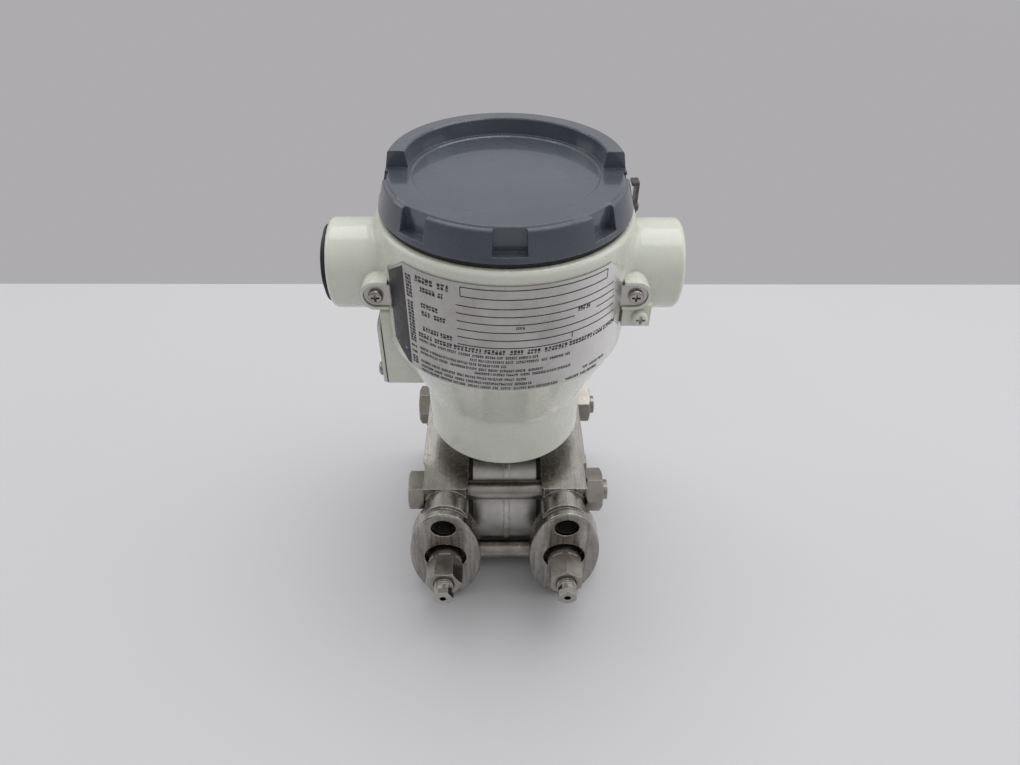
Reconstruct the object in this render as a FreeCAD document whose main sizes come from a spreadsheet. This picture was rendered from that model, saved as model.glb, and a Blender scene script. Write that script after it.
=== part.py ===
import FreeCAD, Part
import math
import os
import Sketcher

# Differential pressure transmitter: an oval-flanged pair of process heads bolted over a round
# meter body, with a cast electronics housing and a screwed cover on its neck.
# The model is laid out about the neck axis (X = Y = 0), with the heads standing on Z = 0, the
# process connections facing -Y and +Y, and the conduit entries along X. Every sub-part is then
# moved by one frame shift, which puts the origin under the middle of the bounding box.

SIZES = [
    # Shared: the gap in a fit, how far fused pieces and hole ends run on, and how far a cut
    # runs out past the surface that it opens
    ("fit_gap", 0.05), ("margin", 0.5), ("run_out", 2.0),
    # Meter body: a round disc lying along X, with the sensor capsule inside
    ("body_axis_z", 32.0), ("body_rad", 31.0), ("body_half", 14.8), ("weld_left", 0.3),
    ("weld_right", 2.1), ("weld_rise", 0.6), ("capsule_rad", 19.7), ("capsule_half", 13.2),
    ("capsule_wall", 2.4), ("capsule_boss_gap", 0.3), ("capsule_boss_high", 6.0),
    ("diaphragm_rad", 26.0), ("diaphragm_thick", 0.4), ("diaphragm_wave", 0.5), ("ring_first", 8.3),
    ("ring_pitch", 5.2), ("ring_half", 1.0), ("ring_count", 3), ("stem_rad", 14.0),
    ("lead_bore_rad", 6.0),
    # Process heads
    ("gasket_thick", 1.7), ("gasket_rad_in", 26.6), ("gasket_rad_out", 30.4), ("head_thick", 20.7),
    ("head_half_y", 37.0), ("head_top", 64.0), ("head_edge", 0.8), ("chamber_rad", 25.0),
    ("chamber_depth", 2.6), ("port_x", 27.0), ("port_neck_half", 9.7), ("port_neck_low", 3.0),
    ("port_neck_top", 63.4), ("flange_face_y", 49.7), ("flange_thick", 8.0),
    ("flange_half_w", 15.9), ("flange_half_t", 29.9), ("flange_edge", 0.6),
    ("flange_bolt_gap", 41.3), ("flange_hole_rad", 5.5), ("rear_hole_rad", 5.1),
    ("flange_hole_deep", 13.0), ("port_recess_rad", 9.5), ("port_recess_deep", 4.5),
    ("port_rad", 6.4), ("port_deep", 22.0), ("port_duct_rad", 2.0), ("spot_rad", 12.0),
    ("spot_deep", 1.0),
    # Head bolts and nuts
    ("bolt_y", 29.0), ("bolt_z", 22.5), ("bolt_rad", 4.5), ("bolt_hole_rad", 5.25),
    ("hex_flats", 17.0), ("bolt_head_high", 6.9), ("nut_high", 7.9), ("bolt_past_nut", 2.4),
    # Vent plugs and bleed screws
    ("vent_collar_rad", 7.5), ("vent_collar_high", 3.3), ("vent_hex_flats", 14.0),
    ("vent_hex_high", 11.2), ("vent_thread_deep", 12.0), ("vent_mouth_rad", 4.7),
    ("vent_mouth_deep", 1.6), ("vent_seat_rad", 1.6), ("bleed_rad", 4.0), ("bleed_proud", 4.4),
    ("bleed_hex_flats", 8.0), ("bleed_hex_high", 2.6), ("bleed_bore_rad", 1.5),
    ("bleed_bore_deep", 12.0), ("bleed_tip", 3.4), ("bleed_seat_gap", 0.4),
    # Housing
    ("skirt_rad", 33.7), ("skirt_rad_top", 34.3), ("skirt_bore_rad", 29.3), ("floor_thick", 7.0),
    ("bowl_rad", 48.3), ("bowl_wall", 6.0), ("cavity_wall", 5.3), ("cavity_foot_rad", 30.0),
    ("shoulder_round", 2.4), ("taper_round", 10.0), ("skirt_edge", 0.8), ("boss_rad", 17.6),
    ("boss_out", 19.0), ("boss_round", 2.2), ("conduit_rad", 9.3), ("conduit_recess_rad", 11.6),
    ("conduit_recess_deep", 1.6), ("conduit_sunk", 4.3), ("set_screw_rad", 2.5),
    ("set_screw_socket_rad", 1.4), ("set_screw_socket_deep", 2.0),
    # Side box with the zero adjuster behind a cover
    ("box_out", 0.2), ("box_half_y", 18.0), ("box_round", 3.0), ("box_inner_x", 30.0),
    ("cover_gasket_thick", 0.5), ("cover_thick", 1.4), ("cover_inset", 0.3),
    ("cover_screw_y", 12.6), ("adjuster_rad", 3.0), ("adjuster_long", 6.0),
    ("adjuster_well_rad", 5.5), ("adjuster_inset", 1.0), ("adjuster_slot", 0.8),
    ("cover_gasket_inset", 0.15),
    # Cover and its seal
    ("cap_set_in", 1.5), ("lug_slope", 2.6), ("lug_step", 1.6), ("disc_flat_rad", 34.0),
    ("cap_edge", 0.5), ("cap_roof", 4.5), ("cap_skirt_gap", 0.3), ("cap_skirt_wall", 4.3),
    ("notch_count", 8), ("notch_half_deg", 7.25), ("notch_turn_deg", 1.0), ("notch_deep", 4.1),
    ("rim_set_in", 3.0), ("rim_foot_wide", 8.4), ("rim_slope_out", 1.3), ("rim_slope_in", 0.9),
    ("rim_start_y", 2.6), ("rim_edge", 0.5), ("rim_sunk", 0.8), ("seal_set_in", 1.1),
    ("seal_wide", 2.8),
    # Cover lock
    ("lock_out", 0.6), ("lock_y", 8.0), ("lock_width", 5.0), ("lock_thick", 1.2),
    ("lock_lip_gap", 0.5), ("lock_pad_side", 1.0), ("lock_pad_sunk", 4.0), ("lock_screw_rad", 1.0),
    ("lock_head_rad", 1.7), ("lock_head_high", 1.0), ("lock_shank", 3.0),
    # Nameplate and its lugs
    ("plate_gap", 0.12), ("plate_thick", 0.5), ("plate_half_deg", 60.5),
    ("plate_top_half_deg", 46.5), ("plate_foot_half_deg", 48.0), ("tab_set_back", 0.34),
    ("tab_half", 4.4), ("tab_set_in", 0.5), ("lug_face_out", 1.2), ("lug_deep", 12.7),
    ("lug_out", 5.3), ("lug_round", 5.7), ("lug_recess_rad", 4.6), ("lug_set_in", 5.1),
    ("tab_root", 0.35), ("pan_rad", 2.8), ("pan_high", 1.9), ("pan_shank_rad", 1.5),
    ("pan_shank", 7.0),
    # Earth terminal
    ("earth_set_in", 4.3), ("earth_out", 6.5), ("earth_set_back", 0.5), ("earth_deep", 15.0),
    ("earth_screw_out", 2.3), ("earth_washer_rad", 3.1), ("earth_washer_thick", 0.8),
    ("earth_head_rad", 3.0), ("earth_head_high", 2.2),
    # Conduit plug on the left
    ("plug_proud", 2.4), ("plug_flange_rad", 14.8), ("plug_face_rad", 12.4),
    ("plug_face_step", 0.9), ("plug_seal_rad", 15.2), ("plug_seal_thick", 0.8),
    ("plug_shank", 14.0), ("plug_bore_rad", 6.5), ("plug_bore_deep", 10.0),
    # Electronics under the cover
    ("module_gap", 0.5), ("module_edge", 1.0), ("block_thick", 6.0), ("block_half_x", 21.0),
    ("block_half_y", 9.0), ("block_rib", 1.6), ("block_rib_high", 3.0), ("terminal_count", 4),
    ("terminal_pitch", 10.0), ("terminal_rad", 2.6), ("terminal_high", 1.6),
    ("module_screw_ring", 33.0), ("module_screw_count", 3),
]

# Heights of the neck, the housing and what it carries, above the top of the heads
HEIGHTS = [
    ("stem_top", 19.0), ("skirt_low", 12.7), ("skirt_top", 37.0), ("floor_low", 34.0),
    ("bowl_low", 66.8), ("bowl_top", 116.8), ("cavity_low", 68.0), ("cavity_step_low", 104.6),
    ("cavity_step_top", 105.3), ("boss_z", 92.3), ("adapter_low", 15.0), ("set_screw_z", 24.0),
    ("box_low", 43.8), ("box_top", 81.0), ("cover_top", 74.6), ("cover_screw_low", 49.1),
    ("cover_screw_high", 69.2), ("adjuster_z", 59.5), ("cap_low", 118.6), ("lug_top", 129.3),
    ("disc_top", 129.9), ("disc_flat_top", 129.5), ("cap_skirt_low", 106.6), ("notch_floor", 121.1),
    ("rim_top", 136.1), ("lock_low", 110.6), ("lock_top", 123.0), ("lock_pad_top", 114.0),
    ("lock_pad_low", 102.0), ("lock_screw_z", 112.4), ("plate_low", 67.9), ("plate_top", 112.0),
    ("plate_shoulder", 104.5), ("plate_foot", 74.0), ("tab_z", 92.5), ("lug_low", 86.7),
    ("lug_high", 98.3), ("earth_low", 78.2), ("earth_high", 87.4), ("earth_z", 82.6),
    ("module_top", 75.0),
]

HEX_SLOPE = math.sqrt(3.0)      # a 30 degree chamfer on hexagon ends
HEX_END = 0.98                  # the flat circle left by that chamfer, to the width over flats
HEAD_ROUND = 0.6                # a pan head's rounding, to its height
RECESS_DEEP = 0.6               # a cross recess's depth, to the head's height
RECESS_LONG = 1.14              # its length and width, to the head's radius
RECESS_WIDE = 0.32
X_AXIS, Y_AXIS, Z_AXIS = (FreeCAD.Vector(1, 0, 0), FreeCAD.Vector(0, 1, 0), FreeCAD.Vector(0, 0, 1))
# Rotations that turn a primitive's own Z axis to the named direction
TO_X = FreeCAD.Rotation(Y_AXIS, 90)
TO_MINUS_X = FreeCAD.Rotation(Y_AXIS, -90)
TO_MINUS_Y = FreeCAD.Rotation(X_AXIS, 90)
TO_Y = FreeCAD.Rotation(X_AXIS, -90)
UPRIGHT = FreeCAD.Rotation()

doc = FreeCAD.newDocument("pressure_transmitter")
sheet = doc.addObject("Spreadsheet::Sheet", "sizes")


class Size:
    """A length known both as a number and as an expression over the sheet's cells."""

    def __init__(self, text, value):
        self.text = text
        self.value = value

    def combine(self, other, sign, result):
        other_text = other.text if isinstance(other, Size) else repr(other)
        return Size(f"({self.text} {sign} {other_text})", result)

    def __add__(self, other):
        return self.combine(other, "+", self.value + number(other))

    def __sub__(self, other):
        return self.combine(other, "-", self.value - number(other))

    def __mul__(self, other):
        return self.combine(other, "*", self.value * number(other))

    def __truediv__(self, other):
        return self.combine(other, "/", self.value / number(other))

    def __neg__(self):
        return Size(f"(0 - {self.text})", -self.value)


def number(size):
    return size.value if isinstance(size, Size) else float(size)


def sine(degrees):
    return Size(f"sin({degrees.text} * 1 deg)", math.sin(math.radians(degrees.value)))


def cosine(degrees):
    return Size(f"cos({degrees.text} * 1 deg)", math.cos(math.radians(degrees.value)))


class Sheet:
    """The driving sizes, read as attributes, such as S.body_rad. A height is read from the
    resting plane, though its cell holds it from the top of the heads."""

    def __init__(self, sizes, heights):
        for row, (alias, value) in enumerate(sizes + heights, start=1):
            sheet.set(f"A{row}", alias)
            sheet.set(f"B{row}", str(value))
            sheet.setAlias(f"B{row}", alias)
            setattr(self, alias, Size(f"sizes.{alias}", float(value)))
        for alias, value in heights:
            setattr(self, alias, self.head_top + getattr(self, alias))


S = Sheet(SIZES, HEIGHTS)
ZERO = Size("0", 0.0)
doc.recompute()

# Places that several pieces share
gasket_x = S.body_half
head_x = S.body_half + S.gasket_thick
head_out_x = head_x + S.head_thick
spot_x = head_out_x - S.spot_deep
vent_hex_y = S.flange_face_y + S.vent_collar_high
vent_face_y = vent_hex_y + S.vent_hex_high
bleed_hex_y = vent_face_y + S.bleed_proud
front_reach = bleed_hex_y + S.bleed_hex_high
adapter_rad = S.skirt_bore_rad - S.fit_gap
adapter_top = S.floor_low - S.fit_gap
floor_top = S.floor_low + S.floor_thick
module_low = floor_top + S.fit_gap
port_neck_x = head_x + S.port_neck_half

boss_reach = S.bowl_rad + S.boss_out
left_reach = boss_reach + S.plug_proud
bowl_bore_rad = S.bowl_rad - S.bowl_wall
cavity_rad = S.bowl_rad - S.cavity_wall
conduit_inner_x = cavity_rad - S.conduit_sunk
box_face_x = S.bowl_rad + S.box_out
plate_rad = S.bowl_rad + S.plate_gap
tab_x = S.bowl_rad - S.tab_set_in
tab_y = plate_rad * cosine(S.plate_half_deg) - S.tab_set_back
lug_inner_x = S.bowl_rad - S.lug_set_in
lug_reach = S.bowl_rad + S.lug_out
lug_face_y = tab_y + S.lug_face_out
lug_back_y = lug_face_y - S.lug_deep
earth_x_in = S.bowl_rad - S.earth_set_in
earth_x = S.bowl_rad + S.earth_screw_out
earth_x_out = S.bowl_rad + S.earth_out
earth_face_y = tab_y - S.earth_set_back
earth_back_y = earth_face_y - S.earth_deep

cap_rad = S.bowl_rad - S.cap_set_in
lug_top_rad = cap_rad - S.lug_slope
disc_rad = lug_top_rad - S.lug_step
notch_back_rad = cap_rad - S.notch_deep
rim_foot_out = cap_rad - S.rim_set_in
rim_foot_in = rim_foot_out - S.rim_foot_wide
rim_top_out = rim_foot_out - S.rim_slope_out
rim_top_in = rim_foot_in + S.rim_slope_in
seal_rad_out = cap_rad - S.seal_set_in
seal_rad_in = seal_rad_out - S.seal_wide
lock_x = S.bowl_rad + S.lock_out
lock_lip_x = cap_rad + S.lock_lip_gap
cap_skirt_rad = bowl_bore_rad - S.cap_skirt_gap
cap_skirt_bore = cap_skirt_rad - S.cap_skirt_wall
block_top = S.module_top + S.block_thick

cover_x = box_face_x + S.cover_gasket_thick
cover_out_x = cover_x + S.cover_thick
shift_x = (left_reach - boss_reach) / 2
shift_y = (front_reach - S.flange_face_y) / 2

parts = []


# ---------------------------------------------------------------- document helpers

def assign(obj, prop, size):
    if isinstance(size, Size):
        obj.setExpression(prop, size.text)
    else:
        setattr(obj, prop, size)


def primitive(kind, name, at=(0, 0, 0), turn=UPRIGHT, **sizes):
    """A Part primitive whose sizes and place are bound to the sheet."""
    obj = doc.addObject("Part::" + kind, name)
    obj.Placement = FreeCAD.Placement(FreeCAD.Vector(*[number(v) for v in at]), turn)
    for prop, size in sizes.items():
        assign(obj, prop, size)
    for axis, place in zip("xyz", at):
        if isinstance(place, Size):
            obj.setExpression("Placement.Base." + axis, place.text)
    return obj


def cylinder(name, rad, high, at=(0, 0, 0), turn=UPRIGHT):
    return primitive("Cylinder", name, at, turn, Radius=rad, Height=high)


def cone(name, rad_low, rad_top, high, at=(0, 0, 0), turn=UPRIGHT):
    return primitive("Cone", name, at, turn, Radius1=rad_low, Radius2=rad_top, Height=high)


def box(name, low, long, wide, high):
    return primitive("Box", name, low, UPRIGHT, Length=long, Width=wide, Height=high)


def fuse(name, shapes):
    obj = doc.addObject("Part::MultiFuse", name)
    obj.Shapes = shapes
    return obj


def cut(name, base, tool):
    obj = doc.addObject("Part::Cut", name)
    obj.Base = base
    obj.Tool = tool
    return obj


def common(name, first, second):
    obj = doc.addObject("Part::MultiCommon", name)
    obj.Shapes = [first, second]
    return obj


def group(name, shapes):
    obj = doc.addObject("Part::Compound", name)
    obj.Links = shapes
    return obj


def finish(obj, label):
    """Names a sub-part after its node and moves it into the object's frame."""
    obj.Label = label
    obj.setExpression("Placement.Base.x", shift_x.text)
    obj.setExpression("Placement.Base.y", shift_y.text)
    parts.append(obj)
    return obj


def hexagon(name, flats, high, at, turn, first_corner=0.0, both_ends=False):
    """A hexagon of the given width over flats, with its far end chamfered."""
    spin = FreeCAD.Rotation(Z_AXIS, first_corner)
    prism = primitive("Prism", name + "_prism", at, turn.multiply(spin), Polygon=6,
                      Circumradius=flats / HEX_SLOPE, Height=high)
    end_rad = flats / 2 * HEX_END
    trim = cone(name + "_trim", end_rad + high * HEX_SLOPE, end_rad, high, at, turn)
    shape = common(name + "_turned", prism, trim)
    if both_ends:
        back = cone(name + "_back", end_rad, end_rad + high * HEX_SLOPE, high, at, turn)
        shape = common(name + "_both", shape, back)
    return shape


def cross_recess(name, at, turn, deep, long, wide):
    """Two crossed slots, sunk from a screw head's outer face at the given place."""
    cutters = []
    for label, size_x, size_y in (("a", long, wide), ("b", wide, long)):
        slot = primitive("Box", f"{name}_{label}", (0, 0, 0), UPRIGHT,
                         Length=size_x, Width=size_y, Height=deep * 2)
        slot.setExpression("Placement.Base.x", (-size_x / 2).text)
        slot.setExpression("Placement.Base.y", (-size_y / 2).text)
        slot.setExpression("Placement.Base.z", (-deep).text)
        cutters.append(slot)
    tool = fuse(name, cutters)
    tool.Placement = FreeCAD.Placement(FreeCAD.Vector(*[number(v) for v in at]), turn)
    for axis, place in zip("xyz", at):
        if isinstance(place, Size):
            tool.setExpression("Placement.Base." + axis, place.text)
    return tool


def along(at, turn, distance):
    """The place at a distance from a point along a primitive's turned Z axis."""
    direction = turn.multVec(Z_AXIS)
    place = []
    for start, part in zip(at, direction):
        step = round(part)
        if step == 0:
            place.append(start)
        elif isinstance(start, Size):
            place.append(start + distance * step)
        else:
            place.append(distance * step + start)
    return tuple(place)


def pan_screw(name, at, turn, head_rad, head_high, shank_rad, shank):
    """A pan head screw whose head stands on the given place, with a cross recess."""
    head = cylinder(name + "_head", head_rad, head_high, at, turn)
    rounded = doc.addObject("Part::Fillet", name + "_rounded")
    rounded.Base = head
    rim = number(head_high) * HEAD_ROUND
    rounded.Edges = [(top_edge(head, at, turn, head_high), rim, rim)]
    body = cylinder(name + "_shank", shank_rad, shank + S.margin, along(at, turn, -shank), turn)
    whole = fuse(name + "_whole", [rounded, body])
    recess = cross_recess(name + "_recess", along(at, turn, head_high), turn,
                          head_high * RECESS_DEEP, head_rad * RECESS_LONG, head_rad * RECESS_WIDE)
    return cut(name, whole, recess)


def top_edge(obj, at, turn, high):
    """The number of the circular edge at the far end of a cylinder."""
    doc.recompute()
    far = FreeCAD.Vector(*[number(v) for v in along(at, turn, high)])
    for index, edge in enumerate(obj.Shape.Edges, start=1):
        if edge.Closed and edge.BoundBox.Center.distanceToPoint(far) < 1e-3:
            return index
    raise ValueError("no end edge on " + obj.Name)


# ---------------------------------------------------------------- part design helpers

class Solid:
    """A PartDesign body built feature by feature from dimensioned sketches."""

    def __init__(self, name):
        self.name = name
        self.body = doc.addObject("PartDesign::Body", name)

    def sketch(self, name, role, offset=None):
        sketch = self.body.newObject("Sketcher::SketchObject", f"{self.name}_{name}")
        plane = next(f for f in self.body.Origin.OriginFeatures if f.Role == role)
        sketch.AttachmentSupport = [(plane, "")]
        sketch.MapMode = "FlatFace"
        if offset is not None:
            sketch.setExpression("AttachmentOffset.Base.z", offset.text)
        return sketch

    def feature(self, kind, name, sketch, **values):
        obj = self.body.newObject("PartDesign::" + kind, f"{self.name}_{name}")
        obj.Profile = sketch
        for prop, value in values.items():
            assign(obj, prop, value)
        sketch.Visibility = False
        return obj

    def pad(self, name, sketch, length, **more):
        return self.feature("Pad", name, sketch, Length=length, **more)

    def pocket(self, name, sketch, length, **more):
        """A cut into the solid; the volume has to fall."""
        doc.recompute()
        before = self.body.Shape.Volume
        obj = self.feature("Pocket", name, sketch, Length=length, **more)
        self.expect_less(obj, before)
        return obj

    def turned(self, name, sketch, axis="V_Axis"):
        return self.feature("Revolution", name, sketch, ReferenceAxis=(sketch, [axis]), Angle=360)

    def groove(self, name, sketch, axis="V_Axis"):
        doc.recompute()
        before = self.body.Shape.Volume
        obj = self.feature("Groove", name, sketch, ReferenceAxis=(sketch, [axis]), Angle=360)
        self.expect_less(obj, before)
        return obj

    def expect_less(self, obj, before):
        doc.recompute()
        if not self.body.Shape.Volume < before - 1e-6:
            raise ValueError(obj.Name + " cuts nothing")

    def edge_work(self, kind, name, choose, prop, size):
        """A Fillet or Chamfer on every edge that the test picks."""
        doc.recompute()
        names = [f"Edge{i}" for i, edge in enumerate(self.body.Shape.Edges, start=1) if choose(edge)]
        if not names:
            raise ValueError(name + " finds no edge")
        base = self.body.Tip
        obj = self.body.newObject("PartDesign::" + kind, f"{self.name}_{name}")
        obj.Base = (base, names)
        assign(obj, prop, size)
        doc.recompute()
        return obj

    def fillet(self, name, choose, size):
        return self.edge_work("Fillet", name, choose, "Radius", size)

    def chamfer(self, name, choose, size):
        return self.edge_work("Chamfer", name, choose, "Size", size)

    def finish(self, label):
        return finish(self.body, label)


def hold(sketch, kind, *links, size):
    index = sketch.addConstraint(Sketcher.Constraint(kind, *links, number(size)))
    if isinstance(size, Size):
        sketch.setExpression(f"Constraints[{index}]", size.text)


def place_point(sketch, geometry, end, across, up):
    hold(sketch, "DistanceX", -1, 1, geometry, end, size=across)
    hold(sketch, "DistanceY", -1, 1, geometry, end, size=up)


def outline(sketch, points):
    """A closed outline of straight edges, with each corner dimensioned from the origin."""
    count = len(points)
    first = sketch.GeometryCount
    corners = [FreeCAD.Vector(number(a), number(b), 0) for a, b in points]
    for i in range(count):
        sketch.addGeometry(Part.LineSegment(corners[i], corners[(i + 1) % count]), False)
    for i in range(count):
        sketch.addConstraint(
            Sketcher.Constraint("Coincident", first + i, 2, first + (i + 1) % count, 1))
    for i, (across, up) in enumerate(points):
        place_point(sketch, first + i, 1, across, up)


def rectangle(sketch, left, low, right, top):
    outline(sketch, [(left, low), (right, low), (right, top), (left, top)])


def circle(sketch, across, up, rad):
    centre = FreeCAD.Vector(number(across), number(up), 0)
    index = sketch.addGeometry(Part.Circle(centre, Z_AXIS, number(rad)), False)
    hold(sketch, "Radius", index, size=rad)
    place_point(sketch, index, 3, across, up)


def upright_oval(sketch, across, up, half_wide, half_high):
    centre = FreeCAD.Vector(number(across), number(up), 0)
    tip = centre + FreeCAD.Vector(0, number(half_high), 0)
    side = centre + FreeCAD.Vector(number(half_wide), 0, 0)
    index = sketch.addGeometry(Part.Ellipse(tip, side, centre), False)
    sketch.exposeInternalGeometry(index)
    sketch.addConstraint(Sketcher.Constraint("Vertical", index + 1))
    hold(sketch, "Distance", index + 1, 1, index + 1, 2, size=half_high * 2)
    hold(sketch, "Distance", index + 2, 1, index + 2, 2, size=half_wide * 2)
    place_point(sketch, index, 3, across, up)


def straight_along(edge, axis):
    return isinstance(edge.Curve, Part.Line) and abs(edge.Curve.Direction.dot(axis)) > 0.9999


def near(first, second):
    return abs(first - second) < 0.01


def ring_edge(rad, z):
    """Picks the full circle of a radius about the vertical axis at a height."""
    def test(edge):
        bounds = edge.BoundBox
        flat = bounds.ZLength < 1e-3 and abs(bounds.ZMin - number(z)) < 1e-3
        return flat and edge.Closed and abs(bounds.XMax - number(rad)) < 1e-2
    return test


# ---------------------------------------------------------------- meter body and sensor

def build_meter_body():
    """The welded round body, its capsule bore, diaphragm seats and the stem that carries the
    housing."""
    solid = Solid("meter")
    profile = solid.sketch("section", "XZ_Plane")
    inner = S.capsule_rad + S.fit_gap
    seat = S.body_half - S.diaphragm_thick
    lip = S.diaphragm_rad + S.fit_gap
    axis = S.body_axis_z
    points = [
        (-S.body_half, axis + lip), (-S.body_half, axis + S.body_rad),
        (-S.weld_left, axis + S.body_rad), (-S.weld_left, axis + S.body_rad + S.weld_rise),
        (S.weld_right, axis + S.body_rad + S.weld_rise),
        (S.weld_right, axis + S.body_rad), (S.body_half, axis + S.body_rad),
        (S.body_half, axis + lip), (seat, axis + lip), (seat, axis + inner),
        (-seat, axis + inner), (-seat, axis + lip),
    ]
    outline(profile, points)
    centre_line = profile.addGeometry(
        Part.LineSegment(FreeCAD.Vector(-5, number(axis), 0), FreeCAD.Vector(5, number(axis), 0)),
        True)
    place_point(profile, centre_line, 1, -S.body_half / 3, axis)
    place_point(profile, centre_line, 2, S.body_half / 3, axis)
    solid.turned("disc", profile, "Axis0")
    stem_root = axis + S.capsule_rad + S.capsule_wall
    stem = solid.sketch("stem_plan", "XY_Plane", stem_root)
    circle(stem, ZERO, ZERO, S.stem_rad)
    solid.pad("stem", stem, S.stem_top - stem_root)
    lead = solid.sketch("lead_plan", "XY_Plane", S.stem_top)
    circle(lead, ZERO, ZERO, S.lead_bore_rad)
    solid.pocket("lead_bore", lead, S.stem_top - axis)
    solid.finish("meter_body")


def build_capsule():
    """The sealed differential sensor, a plain round slug along X with a lead boss on top."""
    slug = cylinder("capsule_slug", S.capsule_rad, S.capsule_half * 2,
                    (-S.capsule_half, 0, S.body_axis_z), TO_X)
    plug = cylinder("capsule_lead_boss", S.lead_bore_rad - S.capsule_boss_gap,
                    S.capsule_rad + S.capsule_boss_high,
                    (0, 0, S.body_axis_z))
    finish(fuse("capsule", [slug, plug]), "sensor_capsule")


def build_diaphragm(side, label):
    """A thin corrugated disc: rings pressed into a flat plate that lies in its seat."""
    outer = S.body_half
    base_x = outer if side > 0 else -outer
    turn = TO_MINUS_X if side > 0 else TO_X
    plate = cylinder(label + "_plate", S.diaphragm_rad, S.diaphragm_thick,
                     (base_x, 0, S.body_axis_z), turn)
    rings = []
    place = along((base_x, 0, S.body_axis_z), turn, -S.diaphragm_wave)
    high = S.diaphragm_wave + S.diaphragm_thick / 4
    for index in range(int(S.ring_count.value)):
        mid = S.ring_first + S.ring_pitch * index
        ring_out = cylinder(f"{label}_out{index}", mid + S.ring_half, high, place, turn)
        ring_in = cylinder(f"{label}_in{index}", mid - S.ring_half, high, place, turn)
        rings.append(cut(f"{label}_ring{index}", ring_out, ring_in))
    finish(fuse(label + "_disc", [plate] + rings), label)


def build_gasket(side, label):
    start = gasket_x if side > 0 else -gasket_x
    turn = TO_X if side > 0 else TO_MINUS_X
    place = (start, 0, S.body_axis_z)
    outer = cylinder(label + "_outer", S.gasket_rad_out, S.gasket_thick, place, turn)
    inner = cylinder(label + "_inner", S.gasket_rad_in, S.gasket_thick, place, turn)
    finish(cut(label + "_ring", outer, inner), label)


# ---------------------------------------------------------------- process heads

def build_head(side, label):
    """A process head: a block that clamps the capsule's diaphragm, with a necked oval flange
    to the front and another to the rear."""
    solid = Solid(label)
    axis = S.body_axis_z
    inner = head_x * side
    outer = head_out_x * side
    middle = S.port_x * side
    neck = port_neck_x * side

    def upright_edge(edge):
        return near(edge.BoundBox.ZLength, number(S.head_top))

    plan = solid.sketch("block_plan", "XY_Plane")
    rectangle(plan, inner, -S.head_half_y, outer, S.head_half_y)
    solid.pad("block", plan, S.head_top)
    solid.chamfer("block_edges", upright_edge, S.head_edge)

    section = solid.sketch("neck_section", "XZ_Plane")
    half = S.port_neck_half
    low, high = S.port_neck_low + half, S.port_neck_top - half
    rounded_bar(section, neck, low, high, half)
    solid.pad("necks", section, (S.flange_face_y - S.flange_thick / 2) * 2, Midplane=True)

    for face, offset in (("front", S.flange_face_y), ("rear", -S.flange_face_y)):
        oval = solid.sketch(face + "_oval", "XZ_Plane", offset)
        upright_oval(oval, middle, axis, S.flange_half_w, S.flange_half_t)
        solid.pad(face + "_flange", oval, S.flange_thick, Reversed=(face == "front"))

    def flange_rim(edge):
        bounds = edge.BoundBox
        return near(abs(bounds.YMin), number(S.flange_face_y)) and near(bounds.YLength, 0)
    solid.chamfer("flange_edges", flange_rim, S.flange_edge)

    for face, offset, hole_rad in (("front", S.flange_face_y, S.flange_hole_rad),
                                   ("rear", -S.flange_face_y, S.rear_hole_rad)):
        inward = face == "rear"
        holes = solid.sketch(face + "_bolt_holes", "XZ_Plane", offset)
        for up in (S.flange_bolt_gap / 2, -S.flange_bolt_gap / 2):
            circle(holes, middle, axis + up, hole_rad)
        solid.pocket(face + "_bolts", holes, S.flange_hole_deep, Reversed=inward)
        recess = solid.sketch(face + "_recess_plan", "XZ_Plane", offset)
        circle(recess, middle, axis, S.port_recess_rad)
        solid.pocket(face + "_recess", recess, S.port_recess_deep, Reversed=inward)
        port = solid.sketch(face + "_port_plan", "XZ_Plane", offset)
        circle(port, middle, axis, S.port_rad)
        solid.pocket(face + "_port", port, S.port_deep, Reversed=inward)

    cavity = solid.sketch("chamber_plan", "YZ_Plane", inner)
    circle(cavity, ZERO, axis, S.chamber_rad)
    solid.pocket("chamber", cavity, S.chamber_depth, Reversed=side > 0)
    ducts = solid.sketch("duct_plan", "YZ_Plane", inner)
    duct_y = S.flange_face_y - S.port_deep + S.port_duct_rad * 2
    circle(ducts, ZERO, axis, S.port_duct_rad)
    solid.pocket("chamber_duct", ducts, S.port_x - head_x, Reversed=side > 0)
    cross = solid.sketch("cross_plan", "XZ_Plane", duct_y)
    circle(cross, middle, axis, S.port_duct_rad)
    solid.pocket("cross_duct", cross, duct_y * 2)

    for name, rad, start, deep in (
        ("bolt_holes", S.bolt_hole_rad, inner, S.head_thick),
        ("spot_faces", S.spot_rad, outer, S.spot_deep),
    ):
        plan = solid.sketch(name + "_plan", "YZ_Plane", start)
        for y_sign in (1, -1):
            for z_sign in (1, -1):
                circle(plan, S.bolt_y * y_sign, axis + S.bolt_z * z_sign, rad)
        into_plus_x = (side > 0) == (name == "bolt_holes")
        solid.pocket(name, plan, deep, Reversed=into_plus_x)
    solid.finish(label)


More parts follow.
